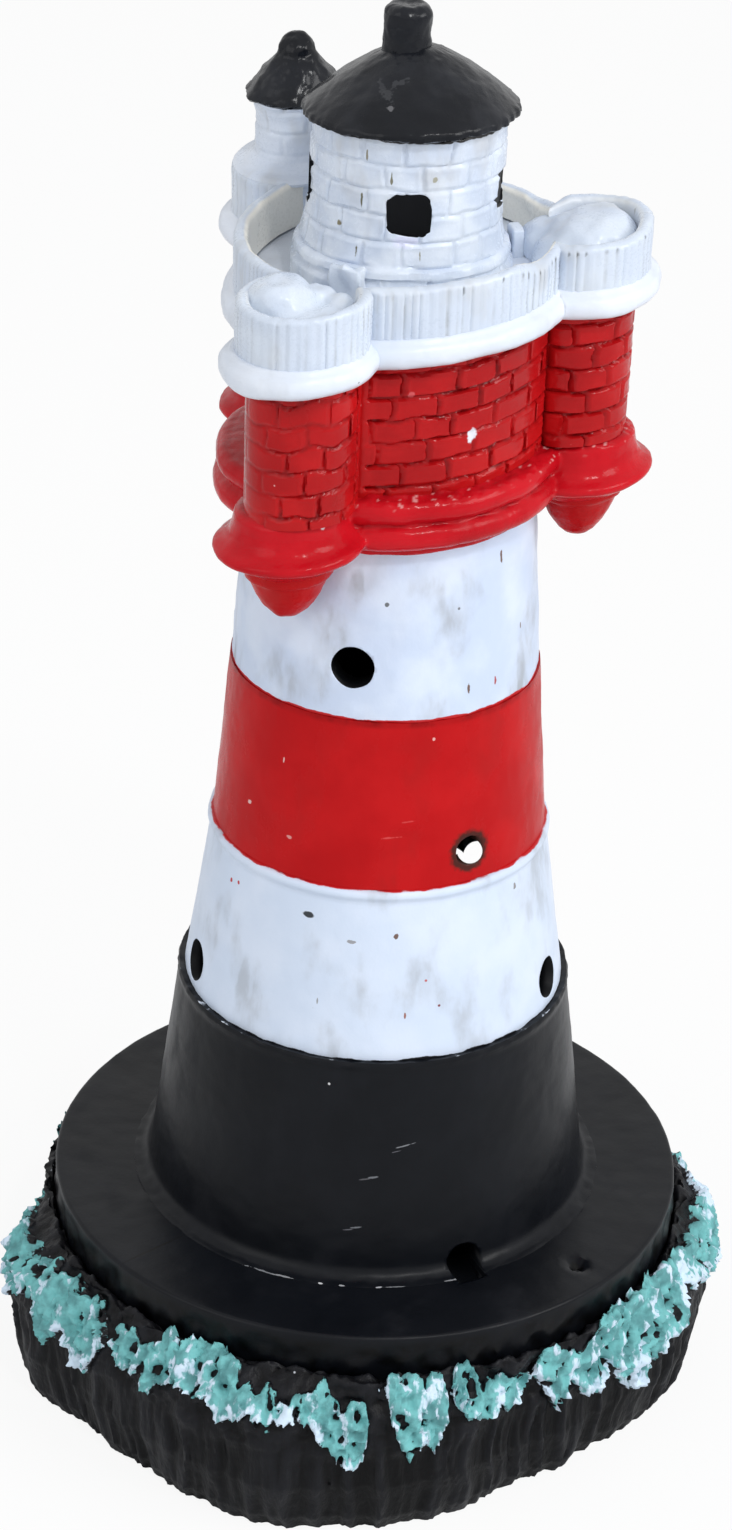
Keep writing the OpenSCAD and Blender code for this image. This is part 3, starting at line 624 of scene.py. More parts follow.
    BRICK = ("red_brick_paint", Enamel(
        colour=(0.39, 0.005, 0.007), drift=(0.50, 0.008, 0.010), smudge=(0.28, 0.006, 0.006),
        joint=(0.10, 0.001, 0.002), joint_share=0.85, speck=(0.8, 0.45, 0.45),
        speck_size=0.16, speck_share=0.05, gloss=0.17, shine=0.16, grain_depth=0.07,
        touches=(
            Touch(299.4, 151.3, 20.0, (0.65, 1.15), (0.8, 0.82, 0.9), 0.7, tilt=-10),
            Touch(275.5, 157.6, 20.0, (0.5, 0.5), (0.62, 0.10, 0.11), 1.2),
            Touch(243.0, 160.4, 31.0, (0.5, 0.5), (0.62, 0.10, 0.11), 1.2, 6.0),
        ),
    ))
    GALLERY = ("white_gallery_paint", Enamel(
        colour=(0.61, 0.685, 0.81), drift=(0.69, 0.76, 0.86), smudge=(0.52, 0.53, 0.53),
        joint=(0.20, 0.18, 0.12), speck=(0.03, 0.03, 0.03),
        speck_size=0.16, speck_share=0.04, gloss=0.28, shine=0.4, grain_depth=0.07,
        # Painted light: the beige of the inner walls is lightened where they lie in the lantern's shade.
        inner=(0.98, 0.94, 0.83),
    ))
    DECK = ("white_gallery_paint", Enamel(
        # Painted light: the deck is a lighter copy of the gallery white, for the light that its nose catches
        # from above.
        colour=(0.71, 0.77, 0.87), drift=(0.77, 0.82, 0.91), smudge=(0.56, 0.58, 0.62),
        joint=(0.30, 0.29, 0.27), smudge_share=0.4, speck=(0.05, 0.05, 0.05),
        speck_size=0.18, shine=0.4, grain_depth=0.07, inner=(0.56, 0.56, 0.52),
    ))
    LANTERN = ("white_gallery_paint", Enamel(
        colour=(0.60, 0.68, 0.82), drift=(0.72, 0.79, 0.90), smudge=(0.50, 0.50, 0.50),
        joint=(0.16, 0.15, 0.09), joint_share=0.7, speck=(0.03, 0.03, 0.03),
        speck_size=0.16, speck_share=0.03, gloss=0.26, shine=0.45, grain_depth=0.07, drift_size=4.0,
        hems=(Hem(187.5, True, BLACK_INK, 1.2),), touches=(
            Touch(243.8, 173.4, 13.7, (0.2, 1.1), (0.11, 0.10, 0.05), 0.7),
            Touch(245.3, 179.8, 12.7, (0.18, 1.0), (0.11, 0.10, 0.05), 0.7),
            Touch(262.8, 182.8, 12.5, (0.18, 0.8), (0.16, 0.15, 0.09), 0.9),
            Touch(247.3, 185.5, 12.5, (0.15, 0.9), (0.22, 0.20, 0.14), 0.9),
            Touch(229.8, 176.1, 13.2, (0.35, 0.6), (0.22, 0.19, 0.10), 0.7),
            Touch(280.5, 173.2, 14.0, (0.18, 1.0), (0.24, 0.22, 0.15), 0.7),
            Touch(287.8, 182.9, 12.6, (0.35, 0.45), (0.36, 0.35, 0.27), 0.9),
            Touch(272.6, 175.0, 13.4, (2.7, 1.1), (0.66, 0.69, 0.88), 0.2),
        ),
    ))
    TURRET = ("white_gallery_paint", Enamel(
        colour=(0.66, 0.73, 0.85), drift=(0.74, 0.80, 0.90), smudge=(0.54, 0.54, 0.52),
        joint=(0.30, 0.28, 0.22), joint_share=0.4, speck_share=0.03, speck_size=0.16,
        gloss=0.28, shine=0.4, grain_depth=0.07,
    ))
    ROOF = ("black_roof_paint", Enamel(
        colour=(0.0052, 0.0062, 0.009), drift=(0.0105, 0.012, 0.0165), smudge=(0.022, 0.024, 0.030),
        speck=(0.4, 0.4, 0.42), speck_size=0.12, speck_share=0.03, gloss=0.22, shine=0.2,
        grain_depth=0.08, touches=(
            # Painted highlights: light grey streaks and a dot where the glossy roof catches the light.
            Touch(262.0, 193.6, 7.5, (1.3, 0.35), (0.034, 0.036, 0.042), 2.2, tilt=20),
            Touch(246.0, 193.1, 8.0, (1.0, 0.3), (0.030, 0.032, 0.038), 2.2, tilt=-30),
            Touch(259.0, 191.4, 9.9, (0.5, 0.35), (0.12, 0.12, 0.13), 2.0),
            Touch(252.0, 192.6, 8.8, (1.6, 0.5), (0.035, 0.037, 0.042), 2.2, tilt=-30),
        ),
    ))
    WINDOW = ("window_black", Enamel(
        colour=(0.002, 0.0025, 0.0035), drift=(0.004, 0.0045, 0.006), smudge=(0.008, 0.0085, 0.01),
        speck_share=0.0, gloss=0.42, shine=0.1, grain_depth=0.06,
    ))

    @property
    def slot(self) -> str:
        """The record's material slot."""
        return self.value[0]

    def material(self) -> bpy.types.Material:
        """Returns the finish's material, made when it is first asked for."""
        name = self.name.lower() + "_enamel"
        return bpy.data.materials.get(name) or self.value[1].dress(name)


# Shaping


def placed(name: str, data: bpy.types.ID) -> bpy.types.Object:
    """Makes an object from its data and links it to the scene.

    Args:
        name: The object's name.
        data: Its mesh, lamp or camera.

    Returns:
        The object.
    """
    item = bpy.data.objects.new(name, data)
    bpy.context.scene.collection.objects.link(item)
    return item


class Casting:
    """One casting under the tools: a bmesh in millimetres, with named marks that its paint reads."""

    def __init__(self, name: str) -> None:
        """Starts an empty casting of that name."""
        self.name = name
        self.bm = bmesh.new()

    @classmethod
    def wrapped(
        cls, name: str, columns: int, rows: int, place: Callable[[float, float], tuple],
        marks: Sequence[str] = (),
    ) -> "Casting":
        """Wraps a grid of faces into a surface, and merges its seam.

        Args:
            name: The casting's name.
            columns: Faces along the grid.
            rows: Faces across it.
            place: Gives the point, then the value of each mark, at two shares from 0 to 1.
            marks: Names of the marks.

        Returns:
            The casting.
        """
        casting = cls(name)
        bm = casting.bm
        bmesh.ops.create_grid(bm, x_segments=columns, y_segments=rows, size=0.5)
        layers = [bm.verts.layers.float.new(mark) for mark in marks]
        for vert in bm.verts:
            point, *values = place(vert.co.x + 0.5, vert.co.y + 0.5)
            vert.co = point
            for layer, value in zip(layers, values):
                vert[layer] = value
        bmesh.ops.remove_doubles(bm, verts=bm.verts, dist=0.0001)
        return casting

    @classmethod
    def turned(
        cls, name: str, profile: Profile, steps: int, centre: Vector | None = None,
    ) -> "Casting":
        """Turns a profile once round an upright axis, as on a lathe.

        Args:
            name: The casting's name.
            profile: Points of radius and height.
            steps: Faces round the turn.
            centre: Where the axis stands, or None for the tower's axis.

        Returns:
            The casting.
        """
        casting = cls(name)
        bm = casting.bm
        verts = [bm.verts.new((r, 0, z)) for r, z in profile]
        edges = [bm.edges.new(pair) for pair in zip(verts, verts[1:])]
        bmesh.ops.spin(
            bm, geom=verts + edges, cent=(0, 0, 0), axis=(0, 0, 1), dvec=(0, 0, 0), angle=math.tau,
            steps=steps, use_merge=True, use_duplicate=False,
        )
        bmesh.ops.remove_doubles(bm, verts=bm.verts, dist=0.0001)
        bmesh.ops.recalc_face_normals(bm, faces=bm.faces)
        if centre is not None:
            bmesh.ops.translate(bm, verts=bm.verts, vec=centre)
        return casting

    def relief(self, height: Callable[[Vector], float]) -> "Casting":
        """Pushes the surface out along its normals.

        Args:
            height: How far, in millimetres, at a point.

        Returns:
            The casting.
        """
        self.bm.normal_update()
        pushed = [vert.co + vert.normal * height(vert.co) for vert in self.bm.verts]
        for vert, point in zip(self.bm.verts, pushed):
            vert.co = point
        return self

    def moved(self, place: Callable[[Vector], Vector]) -> "Casting":
        """Moves each point to where place says.

        Args:
            place: Gives a point's new place.

        Returns:
            The casting.
        """
        for vert in self.bm.verts:
            vert.co = place(vert.co)
        return self

    def marked(self, mark: str, value: Callable[[Vector], float]) -> "Casting":
        """Sets a mark from each point's place.

        Args:
            mark: The mark's name.
            value: The mark's value at a point.

        Returns:
            The casting.
        """
        layer = self.bm.verts.layers.float.get(mark) or self.bm.verts.layers.float.new(mark)
        for vert in self.bm.verts:
            vert[layer] = value(vert.co)
        return self

    def scaled(self, factor: float) -> "Casting":
        """Scales every point about the origin by a factor."""
        bmesh.ops.scale(self.bm, verts=self.bm.verts, vec=(factor, factor, factor))
        return self

    def lids(self) -> "Casting":
        """Closes every open rim with a flat lid.

        Returns:
            The casting.
        """
        rims = [edge for edge in self.bm.edges if edge.is_boundary]
        bmesh.ops.holes_fill(self.bm, edges=rims, sides=0)
        return self

    def joined(self, other: "Casting") -> "Casting":
        """Takes in another casting, whose own mesh is used up.

        Args:
            other: The casting to take in.

        Returns:
            The casting.
        """
        mesh = bpy.data.meshes.new("joined")
        other.bm.to_mesh(mesh)
        self.bm.from_mesh(mesh)
        other.bm.free()
        bpy.data.meshes.remove(mesh)
        return self

    def mesh_object(self, crease: float = 40.0) -> bpy.types.Object:
        """Turns the casting into an object in metres.

        Args:
            crease: Angle in degrees past which an edge stays sharp.

        Returns:
            The object, whose place is in its mesh.
        """
        self.scaled(MM)
        mesh = bpy.data.meshes.new(self.name)
        self.bm.to_mesh(mesh)
        self.bm.free()
        mesh.shade_smooth()
        mesh.set_sharp_from_angle(angle=math.radians(crease))
        return placed(self.name, mesh)


def settle(piece: bpy.types.Object) -> None:
    """Applies a piece's modifiers to its mesh.

    Args:
        piece: The piece.
    """
    graph = bpy.context.evaluated_depsgraph_get()
    shaped = bpy.data.meshes.new_from_object(piece.evaluated_get(graph), depsgraph=graph)
    piece.modifiers.clear()
    piece.data = shaped


def bored(piece: bpy.types.Object, cutter: bpy.types.Object) -> None:
    """Cuts one object out of another and removes the cutter. The cut takes the cutter's material.

    Args:
        piece: The object to cut.
        cutter: The object to cut with.
    """
    whole = piece.data
    for solver, nudge in (("EXACT", 0.0), ("EXACT", 0.021), ("EXACT", -0.034), ("MANIFOLD", 0.0)):
        piece.data = whole
        cutter.data.transform(Matrix.Translation((nudge * MM, -nudge * MM, nudge * MM)))
        cut = piece.modifiers.new("bore", "BOOLEAN")
        cut.operation = "DIFFERENCE"
        cut.object = cutter
        cut.solver = solver
        cut.material_mode = "TRANSFER"
        settle(piece)
        if len(piece.data.polygons) > 0.9 * len(whole.polygons):
            break
        LOG.warning("%s: the cut is made again a little aside", piece.name)
    bpy.data.objects.remove(cutter)


def fused(piece: bpy.types.Object, voxel: float, rounds: int) -> None:
    """Melts a piece's overlapping shells into one skin.

    Args:
        piece: The piece.
        voxel: Size of the skin's faces in millimetres.
        rounds: How many times the skin is smoothed.
    """
    melt = piece.modifiers.new("melt", "REMESH")
    melt.mode = "VOXEL"
    melt.voxel_size = voxel * MM
    melt.use_smooth_shade = True
    ease = piece.modifiers.new("ease", "SMOOTH")
    ease.factor = 0.5
    ease.iterations = rounds
    settle(piece)


def fitted(piece: bpy.types.Object, finish: Finish, node: str) -> bpy.types.Object:
    """Gives a piece its finish and puts it in the place of a CAD node.

    Args:
        piece: The piece.
        finish: Its finish.
        node: The CAD node that it stands for.

    Returns:
        The piece.
    """
    piece.data.materials.append(finish.material())
    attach(piece, BODY)
    finish.slot
    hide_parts(node)
    LOG.info("%s: %d faces, finish %s", piece.name, len(piece.data.polygons), finish.name)
    return piece


@dataclass(frozen=True)
class Brickwork:
    """Moulded bricks, laid in courses with every other course shifted by half a brick."""

    course: float = 3.1
    length: float = 6.0
    joint: float = 0.42
    depth: float = 0.36
    wander: float = 0.2
    seed: float = 1.0
    bed_mark: float = 1.0
    rare: float = 0.7

    def cloud(self, along: float, up: float, fine: float, count: int, shift: float = 0.0) -> float:
        """Reads noise that meets itself again at the end of a full ring.

        Args:
            along: Distance along the wall in millimetres.
            up: Height above the lowest bed joint.
            fine: How fine the noise is, in lumps a millimetre.
            count: Bricks in a full ring, or 0 where the wall has ends.
            shift: Moves the pattern, so that two layers differ.

        Returns:
            A number round 0.
        """
        spot = Vector((along, 0.0, up))
        if count:
            reach = count * self.length / math.tau
            spot = polar(reach, 360 * along / (count * self.length), up)
        return noise.noise(spot * fine + Vector((0.0, 0.0, self.seed + shift)))

    def at(self, along: float, up: float, count: int = 0) -> tuple[float, float]:
        """Reads the brickwork at one place.

        Args:
            along: Distance along the wall in millimetres.
            up: Height above the lowest bed joint.
            count: Bricks in a full ring, or 0 where the wall has ends.

        Returns:
            The relief in millimetres, and a mark that is 1 in a joint.
        """
        shake = self.wander * self.cloud(along, up, 0.33, count)
        shake += 0.3 * self.wander * self.cloud(along, up, 1.1, count)
        row, rise = divmod(up + shake, self.course)
        slide = self.length * (0.5 * (row % 2) + 0.16 * (chance(row, self.seed) - 0.5))
        col, side = divmod(along + slide + 1.4 * shake, self.length)
        here, after = (col % count, (col + 1) % count) if count else (col, col + 1)
        spread = 0.26 * self.length
        left = spread * (chance(row, here, self.seed) - 0.5)
        right = spread * (chance(row, after, self.seed) - 0.5)
        first = abs(side - left) < abs(self.length + right - side)
        gap = min(abs(side - left), abs(self.length + right - side))
        if side < left or side > self.length + right:
            here += 0.37
        bed = min(rise, self.course - rise)
        nearer = here if first else after
        thin = 0.75 + 0.5 * chance(row, nearer, self.seed, 5.0)
        upright = 1 - smooth(self.joint * 0.25 * thin, self.joint * 0.75 * thin, gap)
        level = 1 - smooth(self.joint * 0.25, self.joint * 0.75, bed)
        joint = max(upright, level)
        lift = 0.16 * (chance(row, here, self.seed, 3.0) - 0.5)
        full = smooth(-0.5, 0.15, self.cloud(along, up, 0.16, count, 20.0))
        joint *= 0.45 + 0.55 * full
        stained = chance(row, nearer, self.seed, 7.0) > self.rare
        dirt = full if self.bed_mark == 1 else 0.1 + 0.9 * stained
        mark = max(self.bed_mark * level * (0.5 + 0.5 * full), upright * dirt)
        near = min(gap, bed)
        edge = 0.07 * smooth(self.joint * 0.7, self.joint * 1.1, near) * (1 - smooth(0.5, 0.9, near))
        return lift * (1 - joint) + edge - self.depth * joint, min(1.0, mark)


# Rock and surf


@dataclass
class Rock:
    """The black rock: striated sides, a lumpy shoulder and a recess for the plinth."""

    height: float = 25.0
    foot_r: float = 45.6
    swell: float = 2.8
    push: tuple[float, float] = (-0.2, -0.8)
    seat_r: float = 45.15
    seat_z: float = 22.2
    least: float = 46.15
    shoulder: float = 1.4
    shaft_r: float = 24.0
    columns: int = 760
    side_rows: int = 84
    top_rows: int = 8
    waves: tuple[tuple[float, float, float], ...] = (
        (2, 1.2, 330), (3, 1.4, 130), (4, 0.7, 140), (5, 2.5, 140), (6, 1.7, 20), (8, 0.6, 335),
        (13, 0.35, 20), (21, 0.25, 75),
    )
    rings: tuple[tuple[float, float, float], ...] = (
        (0, 0, 0), (0.1, 0.45, 0), (0.35, 0.95, 0), (0.62, 1, 0), (0.8, 0.75, 0), (0.92, 0.5, 0.35),
        (1, 0, 1),
    )

    def plain(self, degrees: float, share: float) -> float:
        """Gives the rock's radius without its relief.

        Args:
            degrees: Direction.
            share: Share of the rock's height.

        Returns:
            The radius in millimetres.
        """
        angle = math.radians(degrees)
        foot = self.foot_r + self.push[0] * math.cos(angle) + self.push[1] * math.sin(angle)
        foot += sum(
            high * math.sin(turns * angle + math.radians(phase)) for turns, high, phase in self.waves
        )
        rim = self.seat_r + self.shoulder + 0.4 * math.sin(7 * angle) + 0.3 * math.sin(16 * angle + 0.87)
        low = max(k for k in range(len(self.rings) - 1) if self.rings[k][0] <= share)
        reach = [
            max((foot + self.swell * swell) * (1 - way) + rim * way,
                self.least * (up * self.height > self.seat_z))
            for up, swell, way in self.rings[low:low + 2]
        ]
        s0, s1 = self.rings[low][0], self.rings[low + 1][0]
        return blend(reach[0], reach[1], (share - s0) / (s1 - s0))

    def relief(self, degrees: float, share: float) -> float:
        """Gives the height of the rock's relief: upright flutes below, crags and pits above.

        Args:
            degrees: Direction.
            share: Share of the rock's height.

        Returns:
            The relief in millimetres.
        """
        x, y, _ = polar(46, degrees)
        z = share * self.height
        drift = 1.6 * murmur(x * 0.12, y * 0.12, z * 0.16)
        bend = polar(46, degrees + drift)
        spot = Vector((bend.x * 0.3, bend.y * 0.3, z * 0.028))
        flute = noise.ridged_multi_fractal(spot, 0.9, 2.1, 4, 0.9, 2.0)
        crag = ripple(Vector((x, y, z)), 3.2, 4)
        low = 1 - smooth(0.5, 0.72, share)
        fine = murmur(bend.x * 1.15, bend.y * 1.15, z * 0.07)
        return low * (0.85 * flute + 0.4 * fine - 0.85) + (1 - low) * 0.85 * crag

    def radius(self, degrees: float, share: float) -> float:
        """Returns the rock's radius with its relief."""
        return self.plain(degrees, share) + self.relief(degrees, share)

    def skin(self, degrees: float, share: float) -> Vector:
        """Gives a point of the rock's skin.

        Args:
            degrees: Direction.
            share: 0 at the foot, 1 at the top of the side, 2 at the rim of the recess.

        Returns:
            The point.
        """
        if share <= 1:
            return polar(self.radius(degrees, share), degrees, share * self.height)
        radius = blend(self.radius(degrees, 1), self.seat_r, share - 1)
        x, y, _ = polar(radius, degrees)
        lump = 1.0 * ripple(Vector((x, y, 3.0)), 2.4, 4) - 0.6 * smooth(1.6, 2.0, share)
        return polar(radius, degrees, self.height + lump * smooth(0.9, 1.4, share))

    def place(self, across: float, along: float) -> tuple[Vector, float, float]:
        """Places a point of the rock's grid.

        Args:
            across: Share of the way round.
            along: Share of the way from the shaft's foot, out, up the side, and in to the recess.

        Returns:
            The point, and marks for how far it stands out and for the shoulder.
        """
        degrees = 360 * across
        step = round(along * self.rows, 3)
        if step <= 2:
            return polar(blend(self.shaft_r, self.radius(degrees, 0), step / 2), degrees), 0.0, 0.0
        if step <= 2 + self.side_rows:
            share = (step - 2) / self.side_rows
            crest = 0.5 + 0.7 * self.relief(degrees, share)
            return self.skin(degrees, share), crest, smooth(0.86, 0.95, share)
        if step <= 2 + self.side_rows + self.top_rows:
            spot = self.skin(degrees, 1 + (step - 2 - self.side_rows) / self.top_rows)
            return spot, 0.5 + 0.4 * (spot.z - self.height), 1.0
        corner = round(step - 2 - self.side_rows - self.top_rows)
        radius = self.seat_r if corner == 1 else self.shaft_r
        return polar(radius, degrees, 0.0 if corner == 3 else self.seat_z), 0.0, 0.0

    @property
    def rows(self) -> int:
        """Rows of faces from the shaft's foot to the recess and back."""
        return self.side_rows + self.top_rows + 5

    def build(self) -> bpy.types.Object:
        """Builds the rock and returns it."""
        casting = Casting.wrapped("rock", self.columns, self.rows, self.place, ("crest", "top"))
        return fitted(casting.mesh_object(60), Finish.ROCK, "rock_base")


@dataclass
class Surf:
    """The pitted crust round the rock's shoulder, painted as breaking waves.

    Each edge is a direction, the crust's lower edge and its upper edge there, as shares of the way up the
    rock's side, past 1 on its top. The crust breaks off where the upper edge is below the lower one.
    """

    rock: Rock
    thickness: float = 1.9
    sunk: float = 0.5
    low: float = 0.26
    top: float = 1.8
    columns: int = 980
    rows: int = 72
    edges: tuple[tuple[float, float, float], ...] = (
        (176, 0.48, 0.86), (190, 0.54, 0.92), (200, 0.62, 0.95), (206, 0.75, 0.97), (209.5, 0.5, 0.97),
        (213.5, 0.66, 0.98), (216.5, 0.46, 0.96), (221, 0.52, 1.0), (224.3, 0.78, 0.86), (225.2, 0.9, 0.8),
        (226.4, 0.7, 0.93), (229, 0.68, 0.97), (232, 0.73, 0.93), (234.7, 0.66, 0.95), (236.7, 0.73, 1.2),
        (239, 0.77, 0.98), (241.5, 0.79, 1.7), (246.5, 0.78, 1.8), (248.5, 0.7, 1.1), (251, 0.7, 0.97),
        (253.6, 0.8, 0.92), (256.5, 0.71, 0.96), (259, 0.78, 0.9), (262, 0.77, 0.93),
        (265, 0.66, 1.0), (268.5, 0.5, 0.88), (271.4, 0.48, 0.93), (272.6, 0.9, 0.8), (274.4, 0.96, 1.2),
        (278.4, 0.5, 1.2), (281.5, 0.6, 0.97), (283, 0.52, 1.2), (285.6, 0.86, 0.85), (288.8, 0.7, 1.5),
        (290.5, 0.68, 0.95), (294, 0.66, 0.95), (298.5, 0.67, 0.9), (301.5, 0.79, 0.86), (304.4, 0.72, 1.1),
        (307, 0.52, 0.99), (310.3, 0.68, 0.9), (314, 0.53, 0.96), (317, 0.48, 1.5), (319.8, 0.63, 1.75),
        (323, 0.46, 1.75), (327.2, 0.34, 1.7), (328.4, 0.54, 1.4), (332, 0.5, 1.3), (337.5, 0.6, 1.4),
        (339.5, 0.8, 1.1), (345, 0.74, 0.98), (352, 0.6, 0.95), (360, 0.48, 0.96), (368, 0.42, 0.97),
        (378, 0.46, 0.95), (384, 0.7, 0.92), (386, 0.9, 0.8), (389, 0.66, 0.97), (397, 0.5, 1.3),
        (404, 0.72, 0.98), (411, 0.55, 0.94), (417, 0.82, 0.9), (419, 0.9, 0.8), (422, 0.62, 1.2),
        (431, 0.48, 0.97), (438, 0.7, 1.5), (447, 0.56, 0.96), (453, 0.84, 0.86), (455, 0.9, 0.8),
        (459, 0.6, 0.95), (468, 0.46, 1.1), (476, 0.68, 0.95), (484, 0.5, 0.98), (491, 0.74, 0.9),
        (493.5, 0.9, 0.8), (497, 0.6, 1.3), (507, 0.5, 0.96), (517, 0.7, 0.98), (527, 0.52, 1.0),
        (536, 0.48, 0.86),
    )

    def bounds(self, degrees: float) -> tuple[float, float]:
        """Finds the crust's lower and upper edge in one direction.

        Args:
            degrees: The direction.

        Returns:
            Both edges, as shares of the way up the rock.
        """
        turn = (degrees - self.edges[0][0]) % 360 + self.edges[0][0]
        after = next(k for k, edge in enumerate(self.edges) if edge[0] > turn)
        (d0, l0, h0), (d1, l1, h1) = self.edges[after - 1], self.edges[after]
        part = (turn - d0) / (d1 - d0)
        return blend(l0, l1, part), blend(h0, h1, part)

    def place(self, across: float, along: float) -> tuple[Vector, float, float, float]:
        """Places a point of the crust's grid, which dives into the rock where the crust ends.

        Args:
            across: Share of the way round.
            along: Share of the way up its face, then down its back.

        Returns:
            The point, and marks for its cover, its white froth with a painted highlight towards the right,
            and its pits.
        """
        degrees = 360 * across
        if along * self.rows > self.rows - 0.5:
            radius = self.rock.plain(degrees, self.low) - 2.5
            return polar(radius, degrees, self.low * self.rock.height), 0, 0, 0
        part = along * self.rows / (self.rows - 1)
        share = blend(self.low, 1.0, part / 0.84)
        if part >= 0.84:
            share = blend(1.0, self.top, (part - 0.84) / 0.16)
        spot = self.rock.skin(degrees, share)
        x, y, z = spot
        low, high = self.bounds(degrees)
        low += 0.05 * murmur(x * 0.9, y * 0.9, 4.0) + 0.03 * murmur(x * 2.3, y * 2.3, 4.0)
        high += 0.06 * murmur(x * 0.8, y * 0.8, 8.0)
        cover = min(1.0, max(0.0, min((share - low) / 0.06, (high - share) / 0.06)))
        crag = ripple(Vector((x + 40, y, z)), 2.4, 4)
        cells = noise.voronoi(Vector((x, y, z * 0.8 + 0.5 * crag)) / 2.1)[0]
        lot = chance(math.floor(x / 3), math.floor(y / 3), math.floor(z / 3))
        pit = 1 - smooth(0.22, 0.4, cells[0] + 0.4 * (lot - 0.42))
        wall = 1 - smooth(0.0, 0.3, cells[1] - cells[0])
        full = self.thickness * (0.42 + 0.45 * crag + 0.3 * wall)
        grown = blend(-self.sunk, full, smooth(0.05, 0.6, cover))
        grown -= 1.1 * pit * cover
        tip = math.radians(90 * smooth(0.7, 1.15, share))
        spot += polar(math.cos(tip), degrees, math.sin(tip)) * grown
        hang = 1 - smooth(0.0, 0.22, share - low)
        streak = murmur(x * 0.7, y * 0.7, z * 0.1)
        # White froth paint, plus a painted highlight: the crust gets whiter towards +x, the lit right side.
        froth_and_sheen = 0.16 + 0.38 * hang + 0.55 * streak + 0.3 * crag + 0.12 * wall + 0.08 * smooth(-20, 25, x)
        glue = (degrees + 180) % 360 - 186
        froth_and_sheen += 0.7 * smooth(6, 3, abs(glue)) * smooth(0.8, 0.95, share)
        return spot, cover, froth_and_sheen, pit

    def build(self) -> bpy.types.Object:
        """Builds the crust and returns it."""
        casting = Casting.wrapped("surf", self.columns, self.rows, self.place, ("cover", "froth_and_sheen", "pit"))
        return fitted(casting.mesh_object(70), Finish.SURF, "surf_crust")


# Plinth and tower


@dataclass
class Plinth:
    """The round black slab, with the port at the tower's foot drilled into its top."""

    radius: float = 45.0
    bore: float = 24.0
    low: float = 22.2
    top: float = 30.6
    edge: float = 0.55

    def hide(self, point: Vector) -> float:
        """Gives the relief: a soft top with one dimple, and a lumpy side.

        Args:
            point: A point of the slab.

        Returns:
            How far it stands out there, in millimetres.
        """
        dimple = 1 - smooth(0.5, 1.5, (point - polar(39.7, 319.3, self.top)).length)
        side = smooth(self.top - 0.9, self.top - 2.2, point.z)
        lumps = 0.4 * side * ripple(point, 2.6)
        return lumps + 0.09 * ripple(point, 9.0) + 0.04 * ripple(point, 2.0) - 1.3 * dimple

    def build(self) -> bpy.types.Object:
        """Builds the plinth.

        Returns:
            The slab.
        """
        rim = bow((self.radius - self.edge, self.top - self.edge), self.edge, 0, 90, 6)
        line = finely([(self.bore, self.low), (self.radius, self.low), *rim, (self.bore, self.top)], 1.0)
        casting = Casting.turned("plinth_slab", line + [(self.bore, self.low)], 300)
        casting.relief(self.hide)
        # Painted shade: the slab's side below the rim is marked to be painted darker than its top.
        casting.marked("crevice", lambda p: smooth(self.top - 0.8, self.top - 1.6, p.z))
        piece = casting.mesh_object()
        fitted(piece, Finish.BLACK, "plinth")
        bored(piece, FootPort(outer=34.3).cutter())
        return piece


@dataclass
class Port:
    """A round water port through a drum's wall, pointing straight out."""

    degrees: float
    height: float
    radius: float
    inner: float = 12.0
    outer: float = 36.0
    paint: Finish = Finish.WINDOW

    def line(self) -> tuple[Vector, Vector]:
        """Returns a point of the bore's axis and the axis's direction."""
        return Vector((0, 0, self.height)), polar(1.0, self.degrees)

    def cutter(self) -> bpy.types.Object:
        """Makes the round cutter for the port.

        Returns:
            The cutter, painted as the port's wall is.
        """
        casting = Casting("port_cutter")
        start, axis = self.line()
        middle = start + axis * (self.inner + self.outer) / 2
        bmesh.ops.create_cone(
            casting.bm, cap_ends=True, cap_tris=False, segments=40, radius1=self.radius, radius2=self.radius,
            depth=self.outer - self.inner,
            matrix=Matrix.Translation(middle) @ axis.to_track_quat("Z", "Y").to_matrix().to_4x4(),
        )
        casting.moved(lambda p: p + 0.12 * noise.noise_vector(p * 0.5))
        piece = casting.mesh_object()
        piece.data.materials.append(self.paint.material())
        return piece


@dataclass
class Sight(Port):
    """A slanting bore from a port down through the tower, which lets the light of the far side in."""

    aside: tuple[float, float, float] = (0.0, 0.0, 0.0)

    def line(self) -> tuple[Vector, Vector]:
        """Returns the port's place and the way that the bore slants."""
        return polar(22.6, self.degrees, self.height) + Vector(self.aside), Vector((0.0242, 0.871, -0.4906))


@dataclass
class FootPort(Port):
    """The port at the tower's foot, half in the plinth."""

    degrees: float = 297.0
    height: float = 32.0
    radius: float = 2.6
    inner: float = 22.0


